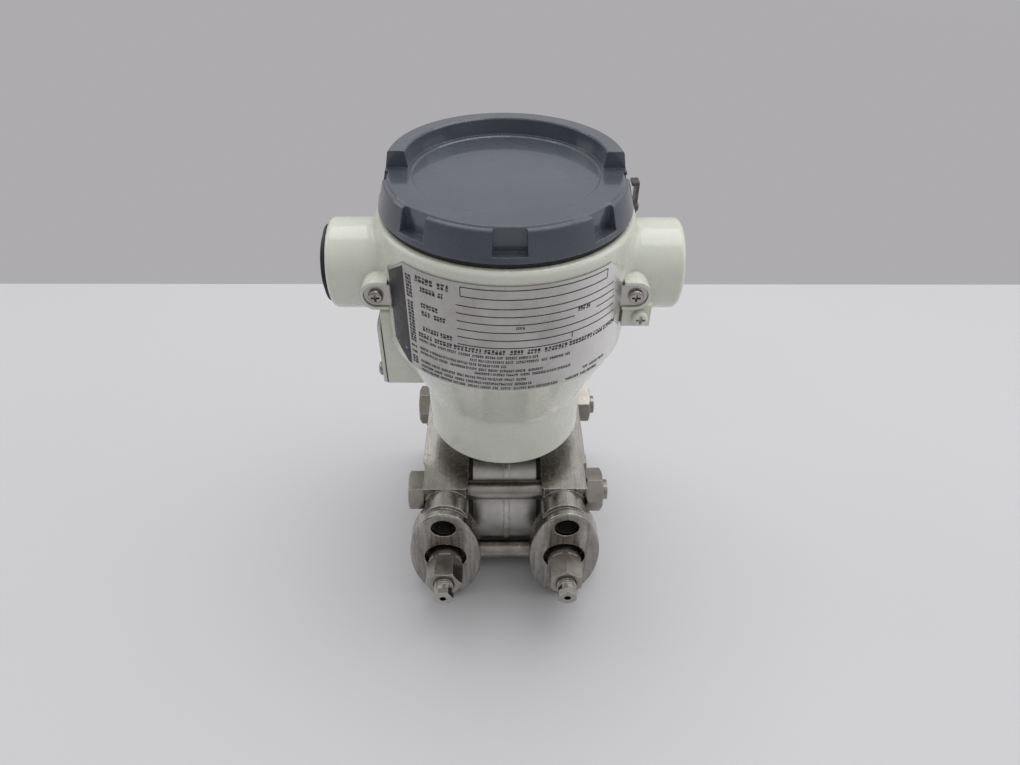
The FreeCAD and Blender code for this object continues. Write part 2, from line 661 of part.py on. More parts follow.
def rounded_bar(sketch, across, low, high, half):
    """An upright bar with round ends, between two arc centres."""
    centres = [FreeCAD.Vector(number(across), number(z), 0) for z in (low, high)]
    side = FreeCAD.Vector(number(half), 0, 0)
    circle_low = Part.Circle(centres[0], Z_AXIS, number(half))
    circle_high = Part.Circle(centres[1], Z_AXIS, number(half))
    sketch.addGeometry(Part.ArcOfCircle(circle_high, 0, math.pi), False)
    sketch.addGeometry(Part.LineSegment(centres[1] - side, centres[0] - side), False)
    sketch.addGeometry(Part.ArcOfCircle(circle_low, math.pi, 2 * math.pi), False)
    sketch.addGeometry(Part.LineSegment(centres[0] + side, centres[1] + side), False)
    for first, second in ((0, 1), (1, 2), (2, 3), (3, 0)):
        sketch.addConstraint(Sketcher.Constraint("Tangent", first, 2, second, 1))
    sketch.addConstraint(Sketcher.Constraint("Vertical", 1))
    hold(sketch, "Radius", 0, size=half)
    place_point(sketch, 0, 3, across, high)
    place_point(sketch, 2, 3, across, low)


def build_bolts_and_nuts():
    """The four bolts that clamp the heads: a hexagon head on the left and a nut on the right,
    each stopped at its own angle."""
    shank = spot_x * 2 + S.nut_high + S.bolt_past_nut
    bolts, nuts = [], []
    corners = {(-1, 1): (20.0, 17.0), (1, 1): (41.5, 48.5), (-1, -1): (27.0, 33.0),
               (1, -1): (34.0, 26.0)}
    for (y_sign, z_sign), (head_turn, nut_turn) in corners.items():
        tag = ("rear" if y_sign > 0 else "front") + ("_top" if z_sign > 0 else "_low")
        y = S.bolt_y * y_sign
        z = S.body_axis_z + S.bolt_z * z_sign
        head = hexagon("bolt_head_" + tag, S.hex_flats, S.bolt_head_high,
                       (-spot_x, y, z), TO_MINUS_X, head_turn)
        rod = cylinder("bolt_rod_" + tag, S.bolt_rad, shank, (-spot_x, y, z), TO_X)
        bolts.append(fuse("bolt_" + tag, [head, rod]))
        blank = hexagon("nut_hex_" + tag, S.hex_flats, S.nut_high, (spot_x, y, z), TO_X,
                        nut_turn, both_ends=True)
        bore = cylinder("nut_bore_" + tag, S.bolt_rad + S.fit_gap, S.nut_high, (spot_x, y, z), TO_X)
        nuts.append(cut("nut_" + tag, blank, bore))
    finish(group("bolt_group", bolts), "head_bolts")
    finish(group("nut_group", nuts), "head_nuts")


# ---------------------------------------------------------------- vents

def build_vent(side, label, corner):
    """The hexagon plug in a front port: a threaded plug with a bored centre for the bleed
    screw."""
    x = S.port_x * side
    z = S.body_axis_z
    thread_y = -(S.flange_face_y - S.vent_thread_deep)
    recess_y = -(S.flange_face_y - S.port_recess_deep)
    thread = cylinder(label + "_thread", S.port_rad - S.fit_gap, S.vent_thread_deep,
                      (x, thread_y, z), TO_MINUS_Y)
    collar = cylinder(label + "_collar", S.vent_collar_rad, S.vent_collar_high + S.port_recess_deep,
                      (x, recess_y, z), TO_MINUS_Y)
    head = hexagon(label + "_hex", S.vent_hex_flats, S.vent_hex_high, (x, -vent_hex_y, z),
                   TO_MINUS_Y, corner)
    whole = fuse(label + "_whole", [thread, collar, head])
    seat_y = thread_y - S.bleed_tip
    screw_bore = cylinder(label + "_bore", S.bleed_rad + S.fit_gap, vent_face_y + seat_y,
                          (x, seat_y, z), TO_MINUS_Y)
    mouth = cylinder(label + "_mouth", S.vent_mouth_rad, S.vent_mouth_deep,
                     (x, -vent_face_y + S.vent_mouth_deep, z), TO_MINUS_Y)
    duct = cylinder(label + "_duct", S.vent_seat_rad, S.vent_thread_deep,
                    (x, thread_y, z), TO_MINUS_Y)
    finish(cut(label + "_cut", whole, fuse(label + "_bores", [screw_bore, mouth, duct])), label)


def build_bleed_screw(side, label, corner):
    """The bleed screw: a coned tip on its seat, a round shank, a small hexagon and an outlet
    hole in its end."""
    x = S.port_x * side
    z = S.body_axis_z
    seat_y = -(S.flange_face_y - S.vent_thread_deep + S.bleed_tip)
    tip_y = seat_y - S.bleed_seat_gap
    shank_y = tip_y - S.bleed_tip
    tip = cone(label + "_tip", S.vent_seat_rad, S.bleed_rad, S.bleed_tip, (x, tip_y, z), TO_MINUS_Y)
    shank = cylinder(label + "_shank", S.bleed_rad, bleed_hex_y + shank_y, (x, shank_y, z), TO_MINUS_Y)
    head = hexagon(label + "_hex", S.bleed_hex_flats, S.bleed_hex_high, (x, -bleed_hex_y, z),
                   TO_MINUS_Y, corner)
    outlet = cylinder(label + "_outlet", S.bleed_bore_rad, S.bleed_bore_deep,
                      (x, -front_reach + S.bleed_bore_deep, z), TO_MINUS_Y)
    finish(cut(label + "_cut", fuse(label + "_whole", [tip, shank, head]), outlet), label)


# ---------------------------------------------------------------- housing

def build_housing():
    """The cast housing: skirt, taper and bowl turned in one, with the conduit bosses, the
    nameplate lugs, the earth block, the side box and the cover lock pad cast on."""
    solid = Solid("housing")
    profile = solid.sketch("profile", "YZ_Plane")
    outline(profile, [
        (ZERO, S.skirt_low), (S.skirt_rad, S.skirt_low), (S.skirt_rad_top, S.skirt_top),
        (S.bowl_rad, S.bowl_low), (S.bowl_rad, S.bowl_top), (ZERO, S.bowl_top),
    ])
    solid.turned("casting", profile)

    section = solid.sketch("boss_section", "YZ_Plane")
    circle(section, ZERO, S.boss_z, S.boss_rad)
    solid.pad("bosses", section, boss_reach * 2, Midplane=True)

    add_side_box(solid)
    add_lugs(solid)
    add_cavity(solid)
    add_housing_holes(solid)
    solid.fillet("boss_ends", boss_end, S.boss_round)
    solid.fillet("box_corners", box_corner, S.box_round)
    solid.fillet("taper_blend", ring_edge(S.skirt_rad_top, S.skirt_top), S.taper_round)
    solid.fillet("shoulder", ring_edge(S.bowl_rad, S.bowl_top), S.shoulder_round)
    solid.fillet("skirt_edge", ring_edge(S.skirt_rad, S.skirt_low), S.skirt_edge)
    solid.finish("housing")


def add_side_box(solid):
    plan = solid.sketch("box_plan", "YZ_Plane", -box_face_x)
    rectangle(plan, -S.box_half_y, S.box_low, S.box_half_y, S.box_top)
    solid.pad("box", plan, box_face_x - S.box_inner_x)


def boss_end(edge):
    """Picks the outer rim of each boss's end face."""
    at_end = near(abs(edge.BoundBox.Center.x), number(boss_reach))
    return edge.Closed and at_end and near(edge.BoundBox.ZLength / 2, number(S.boss_rad))


def box_corner(edge):
    start = edge.Vertexes[0].Point
    low = near(start.z, number(S.box_low)) and start.x < 0
    return straight_along(edge, X_AXIS) and low


def lug_corner(edge):
    start = edge.Vertexes[0].Point
    return straight_along(edge, Y_AXIS) and near(abs(start.x), number(lug_reach))


def add_lugs(solid):
    """A nameplate lug on each side, the earth block below the right one and the lock pad."""
    plan = solid.sketch("lug_plan", "XZ_Plane", lug_face_y)
    for side in (-1, 1):
        rectangle(plan, lug_inner_x * side, S.lug_low, lug_reach * side, S.lug_high)
    solid.pad("lugs", plan, lug_face_y - lug_back_y, Reversed=True)
    solid.fillet("lug_ends", lug_corner, S.lug_round)
    block = solid.sketch("earth_plan", "XZ_Plane", earth_face_y)
    rectangle(block, earth_x_in, S.earth_low, earth_x_out, S.earth_high)
    solid.pad("earth_block", block, earth_face_y - earth_back_y, Reversed=True)
    pad_half = S.lock_width / 2 + S.lock_pad_side
    lock = solid.sketch("lock_plan", "XY_Plane", S.lock_pad_low)
    rectangle(lock, S.bowl_rad - S.lock_pad_sunk, S.lock_y - pad_half, lock_x, S.lock_y + pad_half)
    solid.pad("lock_pad", lock, S.lock_pad_top - S.lock_pad_low)


def add_cavity(solid):
    bore = solid.sketch("cavity_profile", "YZ_Plane")
    outline(bore, [
        (ZERO, floor_top), (S.cavity_foot_rad, floor_top), (cavity_rad, S.cavity_low),
        (cavity_rad, S.cavity_step_low), (bowl_bore_rad, S.cavity_step_top),
        (bowl_bore_rad, S.bowl_top), (ZERO, S.bowl_top),
    ])
    solid.groove("cavity", bore)
    skirt = solid.sketch("skirt_bore_plan", "XY_Plane", S.skirt_low)
    circle(skirt, ZERO, ZERO, S.skirt_bore_rad)
    solid.pocket("skirt_bore", skirt, S.floor_low - S.skirt_low, Reversed=True)
    lead = solid.sketch("lead_plan", "XY_Plane", S.floor_low)
    circle(lead, ZERO, ZERO, S.lead_bore_rad)
    solid.pocket("lead_bore", lead, S.floor_thick, Reversed=True)


def add_housing_holes(solid):
    for side, tag in ((-1, "left"), (1, "right")):
        end = boss_reach * side
        recess = solid.sketch(tag + "_recess_plan", "YZ_Plane", end)
        circle(recess, ZERO, S.boss_z, S.conduit_recess_rad)
        solid.pocket(tag + "_recess", recess, S.conduit_recess_deep, Reversed=side < 0)
        entry = solid.sketch(tag + "_entry_plan", "YZ_Plane", end)
        circle(entry, ZERO, S.boss_z, S.conduit_rad)
        solid.pocket(tag + "_entry", entry, boss_reach - conduit_inner_x, Reversed=side < 0)
        pocket = solid.sketch(tag + "_tab_plan", "XZ_Plane", lug_face_y)
        rectangle(pocket, (lug_inner_x - S.margin) * side, S.tab_z - S.lug_recess_rad,
                  tab_x * side, S.tab_z + S.lug_recess_rad)
        solid.pocket(tag + "_tab_recess", pocket, lug_face_y - tab_y)
        round_end = solid.sketch(tag + "_tab_end_plan", "XZ_Plane", lug_face_y)
        circle(round_end, tab_x * side, S.tab_z, S.lug_recess_rad)
        solid.pocket(tag + "_tab_end", round_end, lug_face_y - tab_y)
        hole = solid.sketch(tag + "_tab_hole_plan", "XZ_Plane", lug_face_y)
        circle(hole, tab_x * side, S.tab_z, S.pan_shank_rad + S.fit_gap)
        solid.pocket(tag + "_tab_hole", hole, lug_face_y - tab_y + S.pan_shank + S.margin)
    earth = solid.sketch("earth_hole_plan", "XZ_Plane", earth_face_y)
    circle(earth, earth_x, S.earth_z, S.pan_shank_rad + S.fit_gap)
    solid.pocket("earth_hole", earth, S.pan_shank + S.margin)
    box_face = -box_face_x
    covers = solid.sketch("cover_hole_plan", "YZ_Plane", box_face)
    for y, z in ((-S.cover_screw_y, S.cover_screw_low), (S.cover_screw_y, S.cover_screw_high)):
        circle(covers, y, z, S.pan_shank_rad + S.fit_gap)
    solid.pocket("cover_holes", covers, S.pan_shank, Reversed=True)
    well = solid.sketch("adjuster_well_plan", "YZ_Plane", box_face)
    circle(well, ZERO, S.adjuster_z, S.adjuster_well_rad)
    solid.pocket("adjuster_well", well, S.adjuster_long + S.adjuster_inset, Reversed=True)
    grub = solid.sketch("set_screw_plan", "XZ_Plane", -S.skirt_rad_top)
    circle(grub, ZERO, S.set_screw_z, S.set_screw_rad + S.fit_gap)
    solid.pocket("set_screw_hole", grub, S.skirt_rad_top - S.skirt_bore_rad + S.margin, Reversed=True)
    lock = solid.sketch("lock_hole_plan", "YZ_Plane", lock_x)
    circle(lock, S.lock_y, S.lock_screw_z, S.lock_screw_rad + S.fit_gap)
    solid.pocket("lock_hole", lock, S.lock_shank + S.margin)


def build_neck_pieces():
    """The threaded adapter that the housing turns on, and the grub screw that locks it."""
    outer = cylinder("adapter_outer", adapter_rad, adapter_top - S.adapter_low,
                     (0, 0, S.adapter_low))
    bore = cylinder("adapter_bore", S.stem_rad + S.fit_gap, S.stem_top - S.adapter_low + S.fit_gap,
                    (0, 0, S.adapter_low))
    lead = cylinder("adapter_lead", S.lead_bore_rad, adapter_top - S.adapter_low,
                    (0, 0, S.adapter_low))
    finish(cut("adapter_cut", outer, fuse("adapter_bores", [bore, lead])), "neck_adapter")
    grub = cylinder("grub", S.set_screw_rad, S.skirt_rad - S.skirt_bore_rad - S.fit_gap,
                    (0, S.skirt_bore_rad + S.fit_gap, S.set_screw_z), TO_Y)
    socket = primitive("Prism", "grub_socket", (0, S.skirt_rad - S.set_screw_socket_deep, S.set_screw_z),
                       TO_Y, Polygon=6, Circumradius=S.set_screw_socket_rad,
                       Height=S.set_screw_socket_deep + S.margin)
    finish(cut("grub_cut", grub, socket), "neck_set_screw")


def build_side_cover():
    """The zero adjuster in its well, and the gasket, cover plate and screws that close it."""
    adjuster = cylinder("adjuster_stem", S.adjuster_rad, S.adjuster_long,
                        (-box_face_x + S.adjuster_inset, 0, S.adjuster_z), TO_X)
    slot = box("adjuster_slot", (-box_face_x, -S.adjuster_rad, S.adjuster_z - S.adjuster_slot / 2),
               S.adjuster_inset * 2, S.adjuster_rad * 2, S.adjuster_slot)
    finish(cut("adjuster_cut", adjuster, slot), "zero_adjuster")
    def corner(edge):
        return straight_along(edge, X_AXIS)

    for label, face, thick, inset in (
        ("side_cover_gasket", box_face_x, S.cover_gasket_thick, S.cover_gasket_inset),
        ("side_cover", cover_x, S.cover_thick, S.cover_inset),
    ):
        solid = Solid(label)
        plan = solid.sketch("plan", "YZ_Plane", -face)
        rectangle(plan, -S.box_half_y + inset, S.box_low + inset, S.box_half_y - inset, S.cover_top)
        solid.pad("plate", plan, thick, Reversed=True)
        solid.fillet("corners", corner, S.box_round)
        holes = solid.sketch("holes", "YZ_Plane", -face)
        for y, z in ((-S.cover_screw_y, S.cover_screw_low), (S.cover_screw_y, S.cover_screw_high)):
            circle(holes, y, z, S.pan_shank_rad + S.fit_gap)
        solid.pocket("screw_holes", holes, thick)
        solid.finish(label)
    screws = []
    for tag, y, z in (("front", -S.cover_screw_y, S.cover_screw_low),
                      ("rear", S.cover_screw_y, S.cover_screw_high)):
        screws.append(pan_screw("cover_screw_" + tag, (-cover_out_x, y, z), TO_MINUS_X,
                                S.earth_head_rad, S.earth_head_high, S.pan_shank_rad, S.pan_shank))
    finish(group("cover_screws", screws), "side_cover_screws")


# ---------------------------------------------------------------- cover, seal and lock

def build_cap():
    """The screwed cover: a lugged disc with a half rim on its rear and a skirt that enters the
    housing's bore."""
    solid = Solid("cap")
    profile = solid.sketch("profile", "XZ_Plane")
    under = S.disc_top - S.cap_roof
    outline(profile, [
        (ZERO, under), (cap_skirt_bore, under), (cap_skirt_bore, S.cap_skirt_low),
        (cap_skirt_rad, S.cap_skirt_low), (cap_skirt_rad, S.cap_low),
        (cap_rad - S.cap_edge, S.cap_low), (cap_rad, S.cap_low + S.cap_edge),
        (lug_top_rad, S.lug_top - S.cap_edge), (lug_top_rad - S.cap_edge, S.lug_top),
        (disc_rad, S.lug_top), (disc_rad - S.cap_edge, S.disc_top),
        (S.disc_flat_rad, S.disc_top), (S.disc_flat_rad - S.cap_edge, S.disc_flat_top),
        (ZERO, S.disc_flat_top),
    ])
    solid.turned("disc", profile)

    notch = solid.sketch("notch_plan", "XY_Plane", S.disc_top)
    spread = math.radians(S.notch_half_deg.value)
    turn = math.radians(S.notch_turn_deg.value)
    corners = []
    past = cap_rad + S.run_out
    for rad, sign in ((notch_back_rad, -1), (past, -1), (past, 1), (notch_back_rad, 1)):
        angle = turn + sign * spread
        corners.append((rad * math.sin(angle), -(rad * math.cos(angle))))
    outline(notch, corners)
    cutter = solid.pocket("notch", notch, S.disc_top - S.notch_floor)
    doc.recompute()
    pattern = solid.body.newObject("PartDesign::PolarPattern", "cap_notches")
    pattern.Originals = [cutter]
    pattern.Axis = (profile, ["V_Axis"])
    pattern.Angle = 360
    pattern.setExpression("Occurrences", S.notch_count.text)
    solid.body.Tip = pattern

    rim = solid.sketch("rim_profile", "XZ_Plane")
    foot = S.lug_top - S.rim_sunk
    outline(rim, [
        (rim_foot_in, foot), (rim_foot_out, foot), (rim_top_out, S.rim_top - S.rim_edge),
        (rim_top_out - S.rim_edge, S.rim_top), (rim_top_in + S.rim_edge, S.rim_top),
        (rim_top_in, S.rim_top - S.rim_edge),
    ])
    solid.feature("Revolution", "rim", rim, ReferenceAxis=(rim, ["V_Axis"]), Angle=180)
    trim = solid.sketch("rim_ends", "XY_Plane", S.rim_top)
    rectangle(trim, -cap_rad, -S.margin, cap_rad, S.rim_start_y)
    solid.pocket("rim_end_faces", trim, S.rim_top - S.disc_top)
    solid.finish("cap")


def build_seal():
    outer = cylinder("seal_outer", seal_rad_out, S.cap_low - S.bowl_top - S.fit_gap,
                     (0, 0, S.bowl_top))
    inner = cylinder("seal_inner", seal_rad_in, S.cap_low - S.bowl_top - S.fit_gap,
                     (0, 0, S.bowl_top))
    finish(cut("seal_ring", outer, inner), "cap_seal")


def build_lock():
    """A small sheet clip on the housing beside the cover, held by one screw."""
    width = S.lock_width
    strap = box("lock_strap", (lock_x, S.lock_y - width / 2, S.lock_low), S.lock_thick, width,
                S.lock_top - S.lock_low)
    hole = cylinder("lock_strap_hole", S.lock_screw_rad + S.fit_gap, S.lock_thick,
                    (lock_x, S.lock_y, S.lock_screw_z), TO_X)
    lip = box("lock_lip", (lock_lip_x, S.lock_y - width / 2, S.lock_top - S.lock_thick),
              lock_x + S.lock_thick - lock_lip_x, width, S.lock_thick)
    finish(fuse("lock_clip_whole", [cut("lock_strap_cut", strap, hole), lip]), "cap_lock_clip")
    screw = pan_screw("lock_pan", (lock_x + S.lock_thick, S.lock_y, S.lock_screw_z), TO_X,
                      S.lock_head_rad, S.lock_head_high, S.lock_screw_rad,
                      S.lock_thick + S.lock_shank)
    finish(screw, "cap_lock_screw")


# ---------------------------------------------------------------- nameplate and terminals

def build_nameplate():
    """A thin plate bent round the bowl, with cut corners, and an end tab under each screw."""
    outer_rad = plate_rad + S.plate_thick
    high = S.plate_top - S.plate_low
    shell_out = cylinder("plate_out", outer_rad, high, (0, 0, S.plate_low))
    shell_in = cylinder("plate_in", plate_rad, high, (0, 0, S.plate_low))
    shell = cut("plate_shell", shell_out, shell_in)
    face = doc.addObject("Sketcher::SketchObject", "plate_face")
    face.Placement = FreeCAD.Placement(FreeCAD.Vector(), TO_MINUS_Y)
    wide = outer_rad * sine(S.plate_half_deg)
    top_wide = outer_rad * sine(S.plate_top_half_deg)
    foot_wide = outer_rad * sine(S.plate_foot_half_deg)
    outline(face, [
        (-foot_wide, S.plate_low), (wide, S.plate_low), (wide, S.plate_shoulder),
        (top_wide, S.plate_top), (-top_wide, S.plate_top), (-wide, S.plate_shoulder),
        (-wide, S.plate_foot),
    ])
    blank = doc.addObject("Part::Extrusion", "plate_blank")
    blank.Base = face
    blank.DirMode = "Normal"
    blank.Solid = True
    assign(blank, "LengthFwd", outer_rad + S.run_out)
    bent = common("plate_bent", shell, blank)
    tabs = []
    for side, tag in ((-1, "left"), (1, "right")):
        start = wide - S.tab_root
        length = tab_x - start
        low_x = start if side > 0 else -tab_x
        strip = box(f"tab_{tag}_strip", (low_x, -tab_y - S.plate_thick, S.tab_z - S.tab_half),
                    length, S.plate_thick, S.tab_half * 2)
        end = cylinder(f"tab_{tag}_end", S.tab_half, S.plate_thick,
                       (tab_x * side, -tab_y, S.tab_z), TO_MINUS_Y)
        hole = cylinder(f"tab_{tag}_hole", S.pan_shank_rad + S.fit_gap, S.plate_thick,
                        (tab_x * side, -tab_y, S.tab_z), TO_MINUS_Y)
        tabs.append(cut(f"tab_{tag}", fuse(f"tab_{tag}_whole", [strip, end]), hole))
    finish(fuse("plate_whole", [bent] + tabs), "nameplate")
    screws = []
    for side, tag in ((-1, "left"), (1, "right")):
        place = (tab_x * side, -tab_y - S.plate_thick, S.tab_z)
        screws.append(pan_screw("plate_screw_" + tag, place, TO_MINUS_Y, S.pan_rad, S.pan_high,
                                S.pan_shank_rad, S.pan_shank))
    finish(group("plate_screws", screws), "nameplate_screws")


def build_earth():
    place = (earth_x, -earth_face_y, S.earth_z)
    ring = cylinder("earth_ring", S.earth_washer_rad, S.earth_washer_thick, place, TO_MINUS_Y)
    hole = cylinder("earth_ring_hole", S.pan_shank_rad + S.fit_gap, S.earth_washer_thick, place,
                    TO_MINUS_Y)
    finish(cut("earth_ring_cut", ring, hole), "earth_washer")
    seat = (earth_x, -earth_face_y - S.earth_washer_thick, S.earth_z)
    finish(pan_screw("earth_pan", seat, TO_MINUS_Y, S.earth_head_rad, S.earth_head_high,
                     S.pan_shank_rad, S.pan_shank), "earth_screw")


def build_conduit_plug():
    """The blanking plug in the left conduit entry, with a seal under its flange."""
    z = S.boss_z
    seal_x = -boss_reach
    seal = cylinder("plug_seal_out", S.plug_seal_rad, S.plug_seal_thick, (seal_x, 0, z), TO_MINUS_X)
    seal_bore = cylinder("plug_seal_in", S.conduit_rad, S.plug_seal_thick, (seal_x, 0, z), TO_MINUS_X)
    finish(cut("plug_seal_ring", seal, seal_bore), "conduit_plug_seal")
    flange_x = seal_x - S.plug_seal_thick
    flange = cylinder("plug_flange", S.plug_flange_rad,
                      S.plug_proud - S.plug_seal_thick - S.plug_face_step, (flange_x, 0, z), TO_MINUS_X)
    face = cylinder("plug_face", S.plug_face_rad, S.plug_proud - S.plug_seal_thick, (flange_x, 0, z),
                    TO_MINUS_X)
    shank = cylinder("plug_shank", S.conduit_rad - S.fit_gap, S.plug_shank, (flange_x, 0, z), TO_X)
    hollow = cylinder("plug_hollow", S.plug_bore_rad, S.plug_bore_deep,
                      (flange_x + S.plug_shank - S.plug_bore_deep, 0, z), TO_X)
    finish(cut("plug_cut", fuse("plug_whole", [flange, face, shank]), hollow), "conduit_plug")


# ---------------------------------------------------------------- electronics

def build_electronics():
    """The potted electronics in the foot of the bowl, with the terminal block on top."""
    gap = S.module_gap
    rad = cavity_rad - gap
    solid = Solid("module")
    profile = solid.sketch("profile", "XZ_Plane")
    outline(profile, [
        (ZERO, module_low), (S.cavity_foot_rad - gap, module_low), (rad, S.cavity_low + gap),
        (rad, S.module_top - S.module_edge), (rad - S.module_edge, S.module_top),
        (ZERO, S.module_top),
    ])
    solid.turned("potting", profile)
    solid.finish("electronics_module")

    base = box("block_base", (-S.block_half_x, -S.block_half_y, S.module_top), S.block_half_x * 2,
               S.block_half_y * 2, S.block_thick)
    ribs = []
    for index in range(int(S.terminal_count.value) + 1):
        middle = S.terminal_pitch * (index - S.terminal_count.value / 2)
        ribs.append(box(f"block_rib_{index}", (middle - S.block_rib / 2, -S.block_half_y, block_top),
                        S.block_rib, S.block_half_y * 2, S.block_rib_high))
    finish(fuse("block_whole", [base] + ribs), "terminal_block")

    heads = []
    for index in range(int(S.terminal_count.value)):
        middle = S.terminal_pitch * (index - (S.terminal_count.value - 1) / 2)
        heads.append(pan_head_only(f"terminal_{index}", (middle, 0, block_top)))
    finish(group("terminals", heads), "terminal_screws")

    heads = []
    for index in range(int(S.module_screw_count.value)):
        angle = math.radians(90 + 360 / S.module_screw_count.value * index)
        place = (S.module_screw_ring * math.cos(angle), S.module_screw_ring * math.sin(angle),
                 S.module_top)
        heads.append(pan_head_only(f"module_screw_{index}", place))
    finish(group("module_screws", heads), "module_screws")


def pan_head_only(name, place):
    """A screw head that sits on a moulding; its thread is inside the moulding."""
    head = cylinder(name + "_head", S.terminal_rad, S.terminal_high, place)
    recess = cross_recess(name + "_recess", along(place, UPRIGHT, S.terminal_high), UPRIGHT,
                          S.terminal_high * RECESS_DEEP, S.terminal_rad * RECESS_LONG,
                          S.terminal_rad * RECESS_WIDE)
    return cut(name, head, recess)


# ---------------------------------------------------------------- build and write

def build_all():
    build_meter_body()
    build_capsule()
    build_diaphragm(-1, "low_side_diaphragm")
    build_diaphragm(1, "high_side_diaphragm")
    build_gasket(-1, "low_side_gasket")
    build_gasket(1, "high_side_gasket")
    build_head(-1, "low_side_head")
    build_head(1, "high_side_head")
    build_bolts_and_nuts()
    build_vent(-1, "low_side_vent_plug", 0.0)
    build_vent(1, "high_side_vent_plug", 30.0)
    build_bleed_screw(-1, "low_side_bleed_screw", 0.0)
    build_bleed_screw(1, "high_side_bleed_screw", 30.0)
    build_neck_pieces()
    build_housing()
    build_side_cover()
    build_cap()
    build_seal()
    build_lock()
    build_nameplate()
    build_earth()
    build_conduit_plug()
    build_electronics()


def check_document():
    for obj in doc.Objects:
        if "Invalid" in obj.State or "Error" in obj.State:
            raise ValueError(f"{obj.Name} ({obj.Label}) failed: {obj.State}")
    for obj in parts:
        if obj.Shape.isNull() or not obj.Shape.isValid():
            raise ValueError(obj.Label + " has no valid shape")


build_all()
doc.recompute()
check_document()
os.makedirs("parts", exist_ok=True)
for part in parts:
    part.Shape.exportStep("parts/" + part.Label + ".step")
    bounds = part.Shape.BoundBox
    print(f"{part.Label}: {len(part.Shape.Solids)} solids, {part.Shape.Volume:.1f} mm3, "
          f"X {bounds.XMin:.2f}..{bounds.XMax:.2f} Y {bounds.YMin:.2f}..{bounds.YMax:.2f} "
          f"Z {bounds.ZMin:.2f}..{bounds.ZMax:.2f}")
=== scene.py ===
import math
import random

import bpy
from mathutils import Matrix, Vector

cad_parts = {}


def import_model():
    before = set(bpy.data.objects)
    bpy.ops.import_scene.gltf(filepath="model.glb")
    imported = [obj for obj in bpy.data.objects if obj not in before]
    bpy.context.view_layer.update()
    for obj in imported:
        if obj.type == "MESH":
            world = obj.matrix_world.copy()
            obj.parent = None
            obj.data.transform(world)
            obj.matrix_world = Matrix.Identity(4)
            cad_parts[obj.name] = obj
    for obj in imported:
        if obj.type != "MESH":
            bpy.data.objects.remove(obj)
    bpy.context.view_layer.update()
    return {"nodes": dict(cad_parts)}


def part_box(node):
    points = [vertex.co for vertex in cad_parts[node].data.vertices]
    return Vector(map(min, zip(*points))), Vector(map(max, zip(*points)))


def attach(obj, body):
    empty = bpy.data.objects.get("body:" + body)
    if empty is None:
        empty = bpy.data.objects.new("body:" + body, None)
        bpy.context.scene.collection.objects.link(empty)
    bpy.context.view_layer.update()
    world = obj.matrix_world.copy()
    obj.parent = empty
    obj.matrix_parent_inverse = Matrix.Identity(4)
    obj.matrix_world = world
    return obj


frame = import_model()
NODES = frame["nodes"]
MM = 0.001


# ------------------------------------------------------------------ places read from the frame

def middle(node):
    low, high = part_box(node)
    return (low + high) / 2


neck = middle("neck_adapter")
NECK_X, NECK_Y = neck.x, neck.y
BOSS_Z = middle("conduit_plug").z


# ------------------------------------------------------------------ node material kit

BLACK = (0.0, 0.0, 0.0, 1.0)
CLOUD_SPAN = (0.35, 0.7)
STEEL_SPAN = (0.35, 0.68)
ROUGH_SPAN = (0.3, 0.7)
SHADER_SAMPLES = 6
LONG_WAYS = 0.05
STAIN_GAIN = 1.4


def linear(red, green, blue):
    """An sRGB colour, 0 to 255, as a linear colour."""
    def one(value):
        value /= 255
        return value / 12.92 if value <= 0.04045 else ((value + 0.055) / 1.055) ** 2.4
    return (one(red), one(green), one(blue), 1.0)


